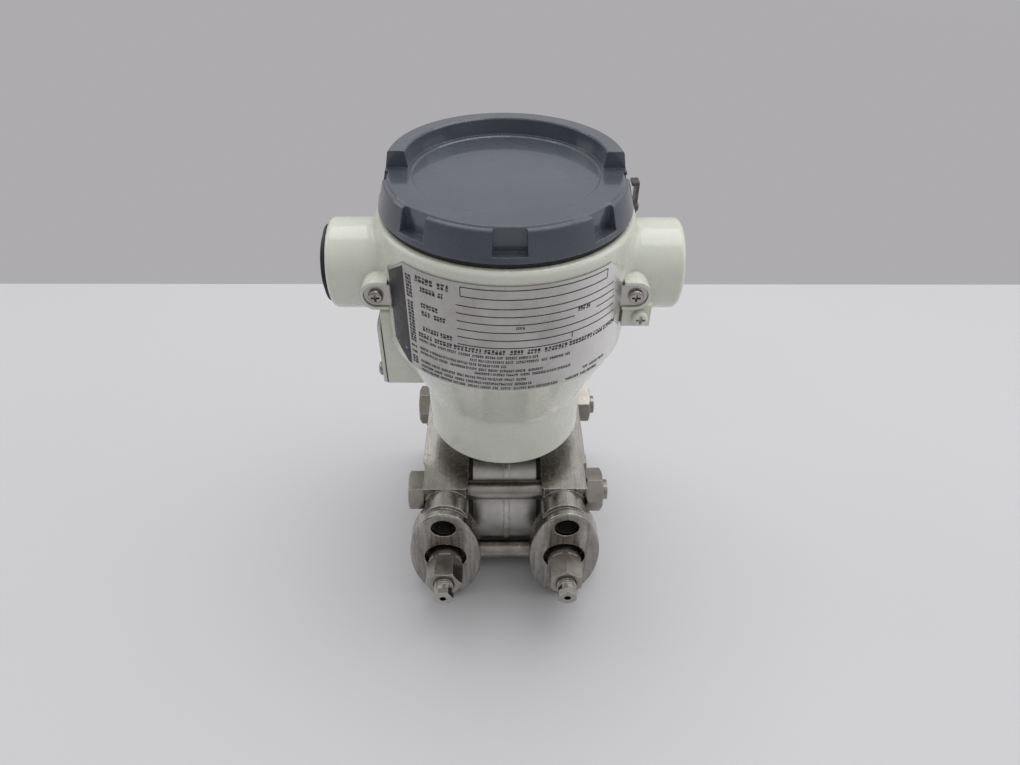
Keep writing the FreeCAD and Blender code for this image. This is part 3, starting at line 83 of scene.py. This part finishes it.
class Finish:
    """A node material, with short calls for the nodes it uses."""

    def __init__(self, name, metallic=0.0, roughness=0.5, coat=0.0, coat_roughness=0.1):
        self.material = bpy.data.materials.new("look_" + name)
        self.material.use_nodes = True
        self.tree = self.material.node_tree
        self.tree.nodes.clear()
        output = self.tree.nodes.new("ShaderNodeOutputMaterial")
        self.shader = self.tree.nodes.new("ShaderNodeBsdfPrincipled")
        self.link(self.shader.outputs[0], output.inputs["Surface"])
        self.set("Base Color", BLACK)
        self.set("Metallic", metallic)
        self.set("Roughness", roughness)
        self.set("Coat Weight", coat)
        self.set("Coat Roughness", coat_roughness)
        self.set("Specular IOR Level", 0.5)
        self.place = self.node("ShaderNodeTexCoord").outputs["Object"]

    def node(self, kind, **properties):
        made = self.tree.nodes.new(kind)
        for name, value in properties.items():
            setattr(made, name, value)
        return made

    def link(self, source, target):
        self.tree.links.new(source, target)

    def feed(self, target, value):
        if isinstance(value, bpy.types.NodeSocket):
            self.link(value, target)
        else:
            target.default_value = value

    def set(self, socket, value):
        self.feed(self.shader.inputs[socket], value)

    def stretched(self, x=1.0, y=1.0, z=1.0):
        """The object's own coordinates, squeezed along each axis."""
        mapping = self.node("ShaderNodeMapping")
        self.link(self.place, mapping.inputs["Vector"])
        mapping.inputs["Scale"].default_value = (x, y, z)
        return mapping.outputs[0]

    def noise(self, size_mm, detail=2.0, roughness=0.5, place=None, distortion=0.0):
        """Noise between 0 and 1 with features of about the given size."""
        made = self.node("ShaderNodeTexNoise")
        self.link(place or self.place, made.inputs["Vector"])
        made.inputs["Scale"].default_value = 1 / (size_mm * MM)
        made.inputs["Detail"].default_value = detail
        made.inputs["Roughness"].default_value = roughness
        made.inputs["Distortion"].default_value = distortion
        return made.outputs["Fac"]

    def ramp(self, value, low, high, start=0.0, end=1.0):
        """The value's span low to high spread over start to end, and held beyond it."""
        made = self.node("ShaderNodeMapRange")
        made.inputs["From Min"].default_value = low
        made.inputs["From Max"].default_value = high
        made.inputs["To Min"].default_value = start
        made.inputs["To Max"].default_value = end
        self.link(value, made.inputs["Value"])
        return made.outputs[0]

    def math(self, operation, first, second=0.0):
        made = self.node("ShaderNodeMath", operation=operation)
        self.feed(made.inputs[0], first)
        self.feed(made.inputs[1], second)
        return made.outputs[0]

    def mix(self, share, first, second):
        """A colour between two, by share."""
        made = self.node("ShaderNodeMix", data_type="RGBA")
        self.feed(made.inputs[0], share)
        self.feed(made.inputs[6], first)
        self.feed(made.inputs[7], second)
        return made.outputs[2]

    def tint(self, colour, mask, strength, other):
        """The colour moved towards another where the mask is 1, by a strength."""
        return self.mix(self.math("MULTIPLY", mask, strength), colour, other)

    def patchy(self, mask, span, **noise):
        """A mask broken up by noise that is 0 below the span and 1 above it."""
        return self.math("MULTIPLY", mask, self.ramp(self.noise(**noise), *span))

    def rough(self, low, high, **noise):
        """Roughness that wanders between two values."""
        self.set("Roughness", self.ramp(self.noise(**noise), *ROUGH_SPAN, low, high))

    def edges(self, radius_mm, sharp=0.25):
        """1 on corners and edges, 0 on open faces."""
        bevel = self.node("ShaderNodeBevel", samples=SHADER_SAMPLES)
        bevel.inputs["Radius"].default_value = radius_mm * MM
        normal = self.node("ShaderNodeNewGeometry").outputs["Normal"]
        dot = self.node("ShaderNodeVectorMath", operation="DOT_PRODUCT")
        self.link(bevel.outputs[0], dot.inputs[0])
        self.link(normal, dot.inputs[1])
        return self.ramp(dot.outputs["Value"], 1.0, 1.0 - sharp)

    def hollows(self, distance_mm, open_level=1.0, deep_level=0.35):
        """1 in corners and crevices, 0 on open faces, between two levels of open sky."""
        shade = self.node("ShaderNodeAmbientOcclusion", samples=SHADER_SAMPLES)
        shade.inputs["Distance"].default_value = distance_mm * MM
        return self.ramp(shade.outputs["AO"], open_level, deep_level)

    def facing(self, x, y, z):
        """How much the surface faces a direction of the object's own frame, 0 to 1."""
        normal = self.node("ShaderNodeTexCoord").outputs["Normal"]
        dot = self.node("ShaderNodeVectorMath", operation="DOT_PRODUCT")
        self.link(normal, dot.inputs[0])
        dot.inputs[1].default_value = (x, y, z)
        return dot.outputs["Value"]

    def bump(self, height, depth_mm, base=None):
        """Bump whose height 0 to 1 stands for depth_mm."""
        made = self.node("ShaderNodeBump")
        made.inputs["Strength"].default_value = 1.0
        made.inputs["Distance"].default_value = depth_mm * MM
        self.feed(made.inputs["Height"], height)
        if base is not None:
            self.link(base, made.inputs["Normal"])
        return made.outputs[0]

    def relief(self, *layers, round_mm=0.0):
        """Bump made of layers of height and depth over softened edges, set on the shader."""
        normal = None
        if round_mm:
            bevel = self.node("ShaderNodeBevel", samples=SHADER_SAMPLES)
            bevel.inputs["Radius"].default_value = round_mm * MM
            normal = bevel.outputs[0]
        for height, depth_mm in layers:
            normal = self.bump(height, depth_mm, normal)
        self.set("Normal", normal)


def housing_paint():
    """Cream powder coat: faint clouds, dirt in the corners and a few specks."""
    f = Finish("housing_paint", roughness=0.28, coat=0.6, coat_roughness=0.05)
    cloud = f.noise(26, detail=4)
    colour = f.mix(f.ramp(cloud, *CLOUD_SPAN), linear(219, 221, 209), linear(213, 216, 202))
    dirt = f.patchy(f.hollows(3.0), (0.34, 0.62), size_mm=1.6, detail=5, roughness=0.65)
    colour = f.tint(colour, dirt, 0.35, linear(128, 124, 108))
    specks = f.ramp(f.noise(1.3, 2, 0.5), 0.76, 0.79)
    colour = f.tint(colour, specks, 0.3, linear(140, 130, 108))
    f.set("Base Color", colour)
    f.rough(0.2, 0.34, size_mm=9, detail=5)
    f.relief((f.noise(14, 3), 0.10), (f.noise(1.7, 2), 0.010), round_mm=0.5)
    return f


def cap_paint():
    """Slate enamel: worn edges, short scuffs and dust in the corners."""
    f = Finish("cap_paint", roughness=0.3, coat=0.6, coat_roughness=0.05)
    cloud = f.noise(18, detail=5, roughness=0.6)
    colour = f.mix(f.ramp(cloud, *CLOUD_SPAN), linear(70, 76, 86), linear(77, 83, 93))
    worn = f.patchy(f.edges(0.5, 0.2), (0.42, 0.64), size_mm=1.4, detail=6, roughness=0.7)
    colour = f.tint(colour, worn, 0.6, linear(158, 160, 165))
    scratch = f.noise(1.1, 3, 0.6, f.stretched(0.12, 1.0, 1.0), 0.4)
    scuffs = f.math("MULTIPLY", f.ramp(scratch, 0.68, 0.72), f.ramp(cloud, 0.48, 0.6))
    colour = f.tint(colour, scuffs, 0.25, linear(150, 152, 158))
    dust = f.patchy(f.hollows(4.0), (0.35, 0.6), size_mm=2.2, detail=5, roughness=0.6)
    colour = f.tint(colour, dust, 0.35, linear(50, 52, 57))
    f.set("Base Color", colour)
    f.rough(0.2, 0.34, size_mm=7, detail=5, roughness=0.6)
    f.relief((f.noise(9, 3), 0.06), (f.noise(1.1, 3), 0.009), round_mm=0.7)
    return f


def machined(name, bright, dark, rough=(0.2, 0.34), grain=(1, 1, 1), grain_mm=0.5, stain=0.35):
    """Bare steel: cutting lines, stains in the corners and edges brightened as a painted
    highlight.
    """
    f = Finish(name, metallic=1.0, roughness=0.3)
    cloud = f.noise(9, detail=5, roughness=0.6)
    colour = f.mix(f.ramp(cloud, *STEEL_SPAN), bright, dark)
    dirt = f.patchy(f.hollows(2.0), (0.34, 0.6), size_mm=1.3, detail=5, roughness=0.65)
    colour = f.tint(colour, dirt, stain * STAIN_GAIN, linear(66, 59, 52))
    # Painted highlight: every edge tinted towards near-white, standing in for edge glints
    colour = f.tint(colour, f.edges(0.4, 0.25), 0.6, linear(236, 234, 230))
    f.set("Base Color", colour)
    f.rough(*rough, size_mm=3.5, detail=6, roughness=0.65)
    lines = f.noise(grain_mm, 3, 0.6, f.stretched(*grain))
    f.relief((f.noise(5, 3), 0.05), (lines, 0.012), round_mm=0.35)
    return f


def head_steel(name="head_steel", shade=1.0):
    """Heads: long mill marks over the body, turned marks on the flange faces, painted glints on
    the edges, painted light on the top faces and painted shade darkening the deep bores.
    """
    f = Finish(name, metallic=1.0, roughness=0.3)
    cloud = f.noise(13, detail=5, roughness=0.6)
    colour = f.mix(f.ramp(cloud, *STEEL_SPAN), linear(182, 178, 172), linear(150, 145, 139))
    along = f.noise(1.1, 4, 0.62, f.stretched(1.0, LONG_WAYS, LONG_WAYS))
    colour = f.tint(colour, f.ramp(along, 0.42, 0.62), 0.55, linear(98, 93, 88))
    dirt = f.patchy(f.hollows(3.0), (0.3, 0.6), size_mm=1.8, detail=5, roughness=0.62)
    colour = f.tint(colour, dirt, 0.6, linear(56, 51, 46))
    # Painted highlight: patchy glints painted along the edges
    painted_glint = f.patchy(f.edges(0.4, 0.22), (0.3, 0.5), size_mm=2.5, detail=4)
    colour = f.tint(colour, painted_glint, 0.6, linear(240, 238, 234))
    # Painted light: faces turned upwards tinted lighter, as if lit from above
    colour = f.tint(colour, f.ramp(f.facing(0, 0, 1), 0.5, 0.9), 0.35, linear(226, 222, 216))
    # Painted shade: deep bores darkened towards near-black
    colour = f.tint(colour, f.hollows(12.0, 0.24, 0.08), 0.9, linear(16, 14, 12))
    # Painted shade: below 1, shade takes the whole colour towards black, so thread pieces in the
    # bores stand for their shade
    colour = f.mix(1.0 - shade, colour, linear(10, 9, 8))
    f.set("Base Color", colour)
    f.rough(0.16, 0.32, size_mm=3.2, detail=5, roughness=0.6)
    fine = f.noise(0.4, 3, 0.6, f.stretched(1.0, LONG_WAYS, LONG_WAYS))
    turned = f.noise(0.4, 3, 0.6, f.stretched(0.06, 1.0, 1.0))
    front = f.ramp(f.math("ABSOLUTE", f.facing(0, 1, 0)), 0.6, 0.8)
    lines = f.math("ADD", f.math("MULTIPLY", front, turned),
                   f.math("MULTIPLY", f.math("SUBTRACT", 1.0, front), fine))
    f.relief((f.noise(8, 3, 0.5), 0.08), (lines, 0.028), round_mm=0.6)
    return f


def plain(name, colour, other, roughness, size_mm=3.0, metallic=0.0):
    """Rubber, plastic and other small pieces: mottled, with a fine grain."""
    f = Finish(name, metallic=metallic, roughness=roughness)
    f.set("Base Color", f.mix(f.ramp(f.noise(size_mm, 5, 0.6), 0.35, 0.65), colour, other))
    f.rough(roughness - 0.06, roughness + 0.1, size_mm=size_mm * 0.6, detail=4)
    f.relief((f.noise(size_mm * 0.25, 3), 0.02))
    return f


def plate_metal():
    """Nameplate: satin foil metal, brushed across, with handling marks and a painted sheen
    brightening faces turned towards +X.
    """
    f = Finish("plate_steel", metallic=1.0, roughness=0.36)
    cloud = f.noise(14, detail=5, roughness=0.6)
    colour = f.mix(f.ramp(cloud, *CLOUD_SPAN), linear(190, 187, 184), linear(174, 170, 167))
    smudge = f.ramp(f.noise(5, 6, 0.65), 0.55, 0.75)
    colour = f.tint(colour, smudge, 0.3, linear(146, 138, 132))
    # Painted reflection: faces turned towards +X brightened towards near-white
    colour = f.mix(f.ramp(f.facing(1, 0, 0), 0.3, 0.8), colour, linear(232, 230, 228))
    f.set("Base Color", colour)
    f.rough(0.24, 0.36, size_mm=6, detail=5, roughness=0.6)
    brushed = f.noise(0.3, 3, 0.6, f.stretched(1.0, 1.0, 0.04))
    f.relief((f.noise(16, 2), 0.05), (brushed, 0.007))
    return f


LOOKS = {
    "steel_body": machined("steel_body", linear(200, 197, 194), linear(176, 172, 168),
                           (0.26, 0.38), grain=(1.0, 0.03, 0.03), grain_mm=0.4, stain=0.07),
    "capsule_steel": machined("capsule_steel", linear(190, 189, 187), linear(164, 162, 160)),
    "gasket": plain("gasket", linear(58, 56, 54), linear(44, 42, 40), 0.6),
    "head_steel": head_steel(),
    # Thread pieces inside the bores, coloured near-black as painted shade
    "thread_steel": head_steel("thread_steel", 0.07),
    "fastener_steel": machined("fastener_steel", linear(168, 162, 155), linear(143, 137, 130),
                               (0.24, 0.38), stain=0.4),
    "bleed_steel": machined("bleed_steel", linear(188, 184, 178), linear(162, 157, 151),
                            (0.15, 0.28), stain=0.35),
    "neck_steel": machined("neck_steel", linear(174, 171, 167), linear(146, 143, 139)),
    "housing_paint": housing_paint(),
    "cap_paint": cap_paint(),
    "black_rubber": plain("black_rubber", linear(20, 20, 22), linear(30, 30, 32), 0.55),
    "black_plastic": plain("black_plastic", linear(30, 30, 32), linear(42, 42, 44), 0.4),
    "clip_steel": plain("clip_steel", linear(112, 110, 108), linear(78, 76, 75), 0.35, 2.0,
                        metallic=0.8),
    "plate_steel": plate_metal(),
    "screw_steel": machined("screw_steel", linear(176, 173, 168), linear(146, 142, 136),
                            (0.14, 0.26), stain=0.7),
    "brass": machined("brass", linear(201, 172, 104), linear(170, 140, 78)),
    "potting": plain("potting", linear(40, 42, 44), linear(52, 54, 56), 0.35, 6.0),
    "print_ink": plain("print_ink", linear(30, 30, 34), linear(44, 44, 48), 0.4, 4.0),
}

for name, node in NODES.items():
    for slot in node.material_slots:
        slot.material = LOOKS[slot.material.name.split(".")[0]].material


# ------------------------------------------------------------------ mesh kit

def piece(name, body, points, faces, look, smooth=True):
    """A mesh piece in the row frame, riding on a body."""
    mesh = bpy.data.meshes.new(name)
    mesh.from_pydata([tuple(p) for p in points], [], faces)
    mesh.validate()
    mesh.update()
    if smooth:
        mesh.polygons.foreach_set("use_smooth", [True] * len(mesh.polygons))
    mesh.materials.append(LOOKS[look].material)
    thing = bpy.data.objects.new(name, mesh)
    bpy.context.scene.collection.objects.link(thing)
    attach(thing, body)
    return thing


def grid_faces(rows, columns, start=0, closed=False):
    """Faces of a grid of points laid out row by row."""
    faces = []
    for row in range(rows - 1):
        for column in range(columns if closed else columns - 1):
            after = (column + 1) % columns
            here = start + row * columns
            there = here + columns
            faces.append((here + column, here + after, there + after, there + column))
    return faces


# ------------------------------------------------------------------ cast fillets of the bosses

SEAL_SET_IN = 2.6 * MM
BOWL_RAD = (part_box("cap_seal")[1].x - NECK_X) + SEAL_SET_IN
BOSS_RAD = 17.6 * MM
BLEND = 4.0 * MM
SKIN = 0.02 * MM
FILLET_AROUND, FILLET_ACROSS = 97, 9


def boss_fillet(name, side):
    """The rolling-ball fillet between the round bowl and a conduit boss."""
    points = []
    for step in range(FILLET_AROUND):
        turn = 2 * math.pi * step / (FILLET_AROUND - 1)
        y = (BOSS_RAD + BLEND) * math.cos(turn)
        z = (BOSS_RAD + BLEND) * math.sin(turn)
        x = math.sqrt((BOWL_RAD + BLEND) ** 2 - y * y)
        centre = Vector((x, y, z))
        to_boss = Vector((0, -math.cos(turn), -math.sin(turn)))
        to_bowl = -Vector((x, y, 0)).normalized()
        for column in range(FILLET_ACROSS):
            share = column / (FILLET_ACROSS - 1)
            aim = to_boss.slerp(to_bowl, share)
            p = centre + aim * (BLEND + SKIN)
            points.append((NECK_X + side * p.x, NECK_Y + p.y, BOSS_Z + p.z))
    faces = grid_faces(FILLET_AROUND, FILLET_ACROSS)
    if side > 0:
        faces = [tuple(reversed(face)) for face in faces]
    piece(name, "housing", points, faces, "housing_paint")


boss_fillet("low_side_boss_fillet", -1)
boss_fillet("high_side_boss_fillet", 1)


# ------------------------------------------------------------------ nameplate print

PLATE_OUT = BOWL_RAD + 0.62 * MM
INK_THICK = 0.06 * MM
RULE_THICK = 0.36
WORD_LENGTHS = (2.2, 5.5)
TAG_LEFT, TAG_RIGHT, TAG_LOW, TAG_HIGH = -18.5, 44.8, 170.9, 174.5


class Print:
    """Thin raised ink on the curved plate, laid out by angle and height."""

    def __init__(self):
        self.points = []
        self.faces = []

    def strip(self, low, high):
        """A curved patch between a lower and an upper line of two (angle, z) ends each."""
        steps = max(1, int(abs(low[1][0] - low[0][0]) / 2.0) + 1)
        lean = max(abs(high[0][0] - low[0][0]), abs(high[1][0] - low[1][0]))
        rows = int(lean / 1.5) + 2
        radius = PLATE_OUT + INK_THICK
        start = len(self.points)
        for row in range(rows):
            up = row / (rows - 1)
            ends = [(low[end][0] + (high[end][0] - low[end][0]) * up,
                     low[end][1] + (high[end][1] - low[end][1]) * up) for end in (0, 1)]
            for step in range(steps + 1):
                share = step / steps
                angle = math.radians(ends[0][0] + (ends[1][0] - ends[0][0]) * share)
                self.points.append((NECK_X + radius * math.sin(angle),
                                    NECK_Y - radius * math.cos(angle),
                                    (ends[0][1] + (ends[1][1] - ends[0][1]) * share) * MM))
        self.faces += grid_faces(rows, steps + 1, start)

    def bar(self, a0, a1, z0, z1):
        self.strip([(a0, z0), (a1, z0)], [(a0, z1), (a1, z1)])

    def line(self, a0, a1, z):
        self.bar(a0, a1, z - RULE_THICK / 2, z + RULE_THICK / 2)

    def upright(self, angle, z0, z1, thick=RULE_THICK):
        half = math.degrees(thick * MM / PLATE_OUT) / 2
        self.bar(angle - half, angle + half, z0, z1)

    def words(self, a0, a1, z, high, seed):
        """A row of greeked words: close blocks, each split once across, with no letters."""
        draw = random.Random(seed)
        unit = math.degrees(high * MM / PLATE_OUT)
        low, top = z - high / 2, z + high / 2
        angle = a0
        while angle < a1 - unit:
            end = min(a1, angle + draw.uniform(*WORD_LENGTHS) * unit)
            while angle < end - 0.3 * unit:
                wide = unit * draw.uniform(0.4, 0.6)
                split = low + high * draw.uniform(0.25, 0.75)
                inset = wide * draw.choice((0.0, 0.0, 0.3))
                self.bar(angle, angle + wide - inset, low, split - high * 0.09)
                inset = wide * draw.choice((0.0, 0.0, 0.3))
                self.bar(angle + inset, angle + wide, split + high * 0.09, top)
                angle += wide + unit * 0.16
            angle = end + unit * 0.5


# Lines are (angle from the front in degrees, height in mm); rows are (start angle, end angle,
# height, letter height) of the photo's printed rows, whose words are not copied
FIELD_LEFT, FIELD_RIGHT, FIELD_LOW, FIELD_HIGH = -58.9, -46.6, 138.8, 168.2
FIELD_TIP = [(-47.2, 174.7), (FIELD_RIGHT, 174.9)]
FIELD_FOOT = [(-48.9, 132.6), (FIELD_RIGHT, 132.6)]
TAG_RULE = 0.3
RULES = ((167.2, -20.5, 50.0), (164.0, -20.5, 51.0), (160.8, -20.5, 28.5), (160.8, 40.0, 52.0),
         (157.5, -20.5, 52.0), (154.2, -20.5, 53.0), (151.0, -20.5, 28.0))
RULE_STOP = (28.0, 151.9, 154.2)
ROWS = ((-39.8, -22.5, 172.7, 2.3), (-37.3, -25.5, 169.0, 1.9), (-37.3, -28.0, 162.5, 1.9),
        (-37.3, -25.5, 159.2, 1.9), (-37.3, -22.0, 152.5, 1.9), (30.0, 39.0, 163.0, 1.7),
        (3.5, 7.5, 159.5, 1.0), (-40.0, 55.5, 149.2, 1.9), (-40.0, 13.0, 146.8, 1.1),
        (-15.5, 27.5, 144.9, 1.1), (-40.0, 0.0, 143.0, 1.1), (-40.0, 16.5, 141.0, 1.1),
        (-13.5, 28.5, 139.2, 1.1), (-40.0, 10.5, 137.0, 1.1), (-40.0, 10.5, 134.9, 1.1),
        (-40.0, 23.0, 132.9, 1.1), (26.5, 45.5, 132.9, 1.1), (35.5, 49.0, 135.4, 1.1))
FIRST_SEED, COLUMN_SEED = 40, 7
COLUMN_LEFT, COLUMN_RIGHT, COLUMN_LOW, COLUMN_HIGH = -45.3, -42.0, 134.5, 173.0
COLUMN_SPLIT, COLUMN_BLOCK = (-44.4, -42.9), (0.8, 1.1)
SPLIT_HALF = 0.25
WIDE_GAP, CLOSE_GAP, WIDE_SHARE = 1.6, 0.35, 0.14


def nameplate_print():
    ink = Print()
    # Dark field at the left end, with its outer corners cut
    ink.strip([(FIELD_LEFT, FIELD_HIGH), (FIELD_RIGHT, FIELD_HIGH)], FIELD_TIP)
    ink.bar(FIELD_LEFT, FIELD_RIGHT, FIELD_LOW, FIELD_HIGH)
    ink.strip(FIELD_FOOT, [(FIELD_LEFT, FIELD_LOW), (FIELD_RIGHT, FIELD_LOW)])
    # Box for the tag and the ruled fields under it
    for z in (TAG_LOW, TAG_HIGH):
        ink.line(TAG_LEFT, TAG_RIGHT, z)
    for angle in (TAG_LEFT, TAG_RIGHT):
        ink.upright(angle, TAG_LOW, TAG_HIGH, TAG_RULE)
    for z, a0, a1 in RULES:
        ink.line(a0, a1, z)
    ink.upright(*RULE_STOP)
    # Rows of small print, greeked
    for seed, row in enumerate(ROWS):
        ink.words(*row, FIRST_SEED + seed)
    # Upright column beside the dark field, greeked
    draw = random.Random(COLUMN_SEED)
    z = COLUMN_LOW
    while z < COLUMN_HIGH:
        high = draw.uniform(*COLUMN_BLOCK)
        split = draw.uniform(*COLUMN_SPLIT)
        ink.bar(COLUMN_LEFT, split - SPLIT_HALF, z, z + high)
        ink.bar(split + SPLIT_HALF, COLUMN_RIGHT, z, z + high)
        z += high + (WIDE_GAP if draw.random() < WIDE_SHARE else CLOSE_GAP)
    piece("nameplate_print", "housing", ink.points, ink.faces, "print_ink")


nameplate_print()


# ------------------------------------------------------------------ screw threads

THREAD_STEPS = 40
RIDGE_HALF = 0.42
RIDGE_SINK = -0.02 * MM
BOLT_ROW_RISE = 20.65
FRONT_HOLE_RAD, REAR_HOLE_RAD = 5.5, 5.1


def thread(name, body, start, axis, radius, pitch, length, depth, look,
           inside=True):
    """A helical ridge standing on a bore wall or a shank, along an axis from a start point."""
    axis = Vector(axis).normalized()
    side = axis.orthogonal().normalized()
    other = axis.cross(side)
    sign = -1 if inside else 1
    turns = length / pitch
    points, columns = [], 3
    total = int(THREAD_STEPS * turns)
    for step in range(total + 1):
        angle = 2 * math.pi * step / THREAD_STEPS
        share = min(step, total - step) / (THREAD_STEPS * 0.5)
        tall = depth * min(1.0, share)
        out = side * math.cos(angle) + other * math.sin(angle)
        along = pitch * step / THREAD_STEPS
        for shift, rise in ((-RIDGE_HALF, RIDGE_SINK), (0.0, tall), (RIDGE_HALF, RIDGE_SINK)):
            points.append(Vector(start) + axis * (along + shift * pitch)
                          + out * (radius + sign * rise))
    faces = grid_faces(total + 1, columns)
    if not inside:
        faces = [tuple(reversed(face)) for face in faces]
    piece(name, body, points, faces, look, smooth=False)


low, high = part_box("housing")
thread("conduit_entry_thread", "housing", (high.x - 3.0 * MM, NECK_Y, BOSS_Z), (-1, 0, 0),
       radius=9.3 * MM, pitch=1.8 * MM, length=18 * MM, depth=0.9 * MM,
       look="housing_paint")
for side in ("low", "high"):
    vent = middle(f"{side}_side_vent_plug")
    head_low, head_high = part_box(f"{side}_side_head")
    for end, start_y, toward, rad in (("front", head_low.y, 1, FRONT_HOLE_RAD),
                                      ("rear", head_high.y, -1, REAR_HOLE_RAD)):
        for level, rise in (("low", -BOLT_ROW_RISE), ("top", BOLT_ROW_RISE)):
            thread(f"{side}_side_{end}_{level}_thread", "meter",
                   (vent.x, start_y + toward * 1.6 * MM, vent.z + rise * MM), (0, toward, 0),
                   radius=rad * MM, pitch=1.3 * MM, length=10.5 * MM, depth=0.55 * MM,
                   look="thread_steel")
    bleed_low, bleed_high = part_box(f"{side}_side_bleed_screw")
    vent_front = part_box(f"{side}_side_vent_plug")[0].y
    thread(f"{side}_side_bleed_thread", f"{side}_side_bleed",
           (vent.x, vent_front + 0.9 * MM, vent.z), (0, -1, 0), radius=4.0 * MM,
           pitch=1.0 * MM, length=3.6 * MM, depth=0.35 * MM, look="bleed_steel",
           inside=False)


# ------------------------------------------------------------------ stage, light and camera

FLOOR_HALF = 3.0
FLOOR_BEHIND = 0.232
CARD_BELOW, ROOM_ABOVE = -0.2, 0.0
# Room light along X, Y and Z of the view direction: low end, high end, strength at each
SIDE_LIGHT = (-0.9, 0.9, 0.22, 0.34)
BACK_LIGHT = (-0.9, 0.8, 0.0, 0.12)
TOP_LIGHT = (-0.1, 0.9, 0.0, 0.3)


def floor():
    """A pale floor whose far edge stands behind the object, as in the photo."""
    mesh = bpy.data.meshes.new("floor")
    back = NECK_Y + FLOOR_BEHIND
    mesh.from_pydata([(-FLOOR_HALF, -FLOOR_HALF, 0), (FLOOR_HALF, -FLOOR_HALF, 0),
                      (FLOOR_HALF, back, 0), (-FLOOR_HALF, back, 0)], [], [(0, 1, 2, 3)])
    thing = bpy.data.objects.new("floor", mesh)
    bpy.context.scene.collection.objects.link(thing)
    f = Finish("floor_card", roughness=0.55)
    f.set("Base Color", f.mix(f.noise(160, 3), linear(208, 208, 211), linear(205, 205, 208)))
    f.relief((f.noise(30, 3), 0.05))
    mesh.materials.append(f.material)


def world():
    """A soft room over a pale card, the same for every kind of ray."""
    made = bpy.data.worlds.new("studio")
    bpy.context.scene.world = made
    made.use_nodes = True
    tree = made.node_tree
    tree.nodes.clear()
    output = tree.nodes.new("ShaderNodeOutputWorld")
    direction = tree.nodes.new("ShaderNodeTexCoord").outputs["Generated"]
    split = tree.nodes.new("ShaderNodeSeparateXYZ")
    tree.links.new(direction, split.inputs[0])

    def spread(value, low, high, start, end):
        node = tree.nodes.new("ShaderNodeMapRange")
        node.interpolation_type = "SMOOTHSTEP"
        tree.links.new(value, node.inputs["Value"])
        for socket, number in zip(("From Min", "From Max", "To Min", "To Max"),
                                  (low, high, start, end)):
            node.inputs[socket].default_value = number
        return node.outputs[0]

    def add(first, second):
        node = tree.nodes.new("ShaderNodeMath")
        node.operation = "ADD"
        tree.links.new(first, node.inputs[0])
        tree.links.new(second, node.inputs[1])
        return node.outputs[0]

    side = spread(split.outputs["X"], *SIDE_LIGHT)
    back = spread(split.outputs["Y"], *BACK_LIGHT)
    above = spread(split.outputs["Z"], *TOP_LIGHT)
    room = tree.nodes.new("ShaderNodeBackground")
    room.inputs["Color"].default_value = (1.0, 1.0, 1.0, 1.0)
    tree.links.new(add(add(side, back), above), room.inputs["Strength"])
    card = tree.nodes.new("ShaderNodeBackground")
    card.inputs["Color"].default_value = linear(173, 171, 174)
    mix = tree.nodes.new("ShaderNodeMixShader")
    tree.links.new(spread(split.outputs["Z"], CARD_BELOW, ROOM_ABOVE, 0.0, 1.0), mix.inputs[0])
    tree.links.new(card.outputs[0], mix.inputs[1])
    tree.links.new(room.outputs[0], mix.inputs[2])
    tree.links.new(mix.outputs[0], output.inputs["Surface"])


def lamp(name, place, aim, width, height, watts):
    """A soft rectangular lamp at a place, turned to face a point."""
    data = bpy.data.lights.new(name, "AREA")
    data.shape = "RECTANGLE"
    data.size = width
    data.size_y = height
    data.energy = watts
    thing = bpy.data.objects.new(name, data)
    bpy.context.scene.collection.objects.link(thing)
    thing.location = place
    thing.rotation_euler = (Vector(aim) - Vector(place)).to_track_quat("-Z", "Y").to_euler()


floor()
world()
lamp("ceiling_panel", place=(0.15, 0.30, 1.35), aim=(0.0, 0.0, 0.1),
     width=1.5, height=1.0, watts=8.5)
lamp("right_window", place=(1.25, 0.10, 0.75), aim=(0.0, 0.0, 0.12),
     width=0.9, height=0.9, watts=2.4)
lamp("left_panel", place=(-1.2, 0.35, 0.8), aim=(0.0, 0.0, 0.12),
     width=0.7, height=0.9, watts=2.0)

# The camera fitted to the photo: lens, place from the neck, and turns in degrees
SENSOR_MM, LENS_MM = 36.0, 24.36
EYE_X, EYE_Y, EYE_Z = -3.277 * MM, -238.248 * MM, 296.508 * MM
HEADING, TILT, ROLL = -1.37, 49.67, 0.79

camera = bpy.data.objects.new("camera", bpy.data.cameras.new("camera"))
bpy.context.scene.collection.objects.link(camera)
camera.data.sensor_width = SENSOR_MM
camera.data.lens = LENS_MM
camera.data.clip_start = 0.01
camera.matrix_world = (
    Matrix.Translation((NECK_X + EYE_X, NECK_Y + EYE_Y, EYE_Z))
    @ Matrix.Rotation(math.radians(HEADING), 4, "Z")
    @ Matrix.Rotation(math.radians(TILT), 4, "X")
    @ Matrix.Rotation(math.radians(ROLL), 4, "Z"))
bpy.context.scene.camera = camera
bpy.context.scene.view_settings.view_transform = "Standard"
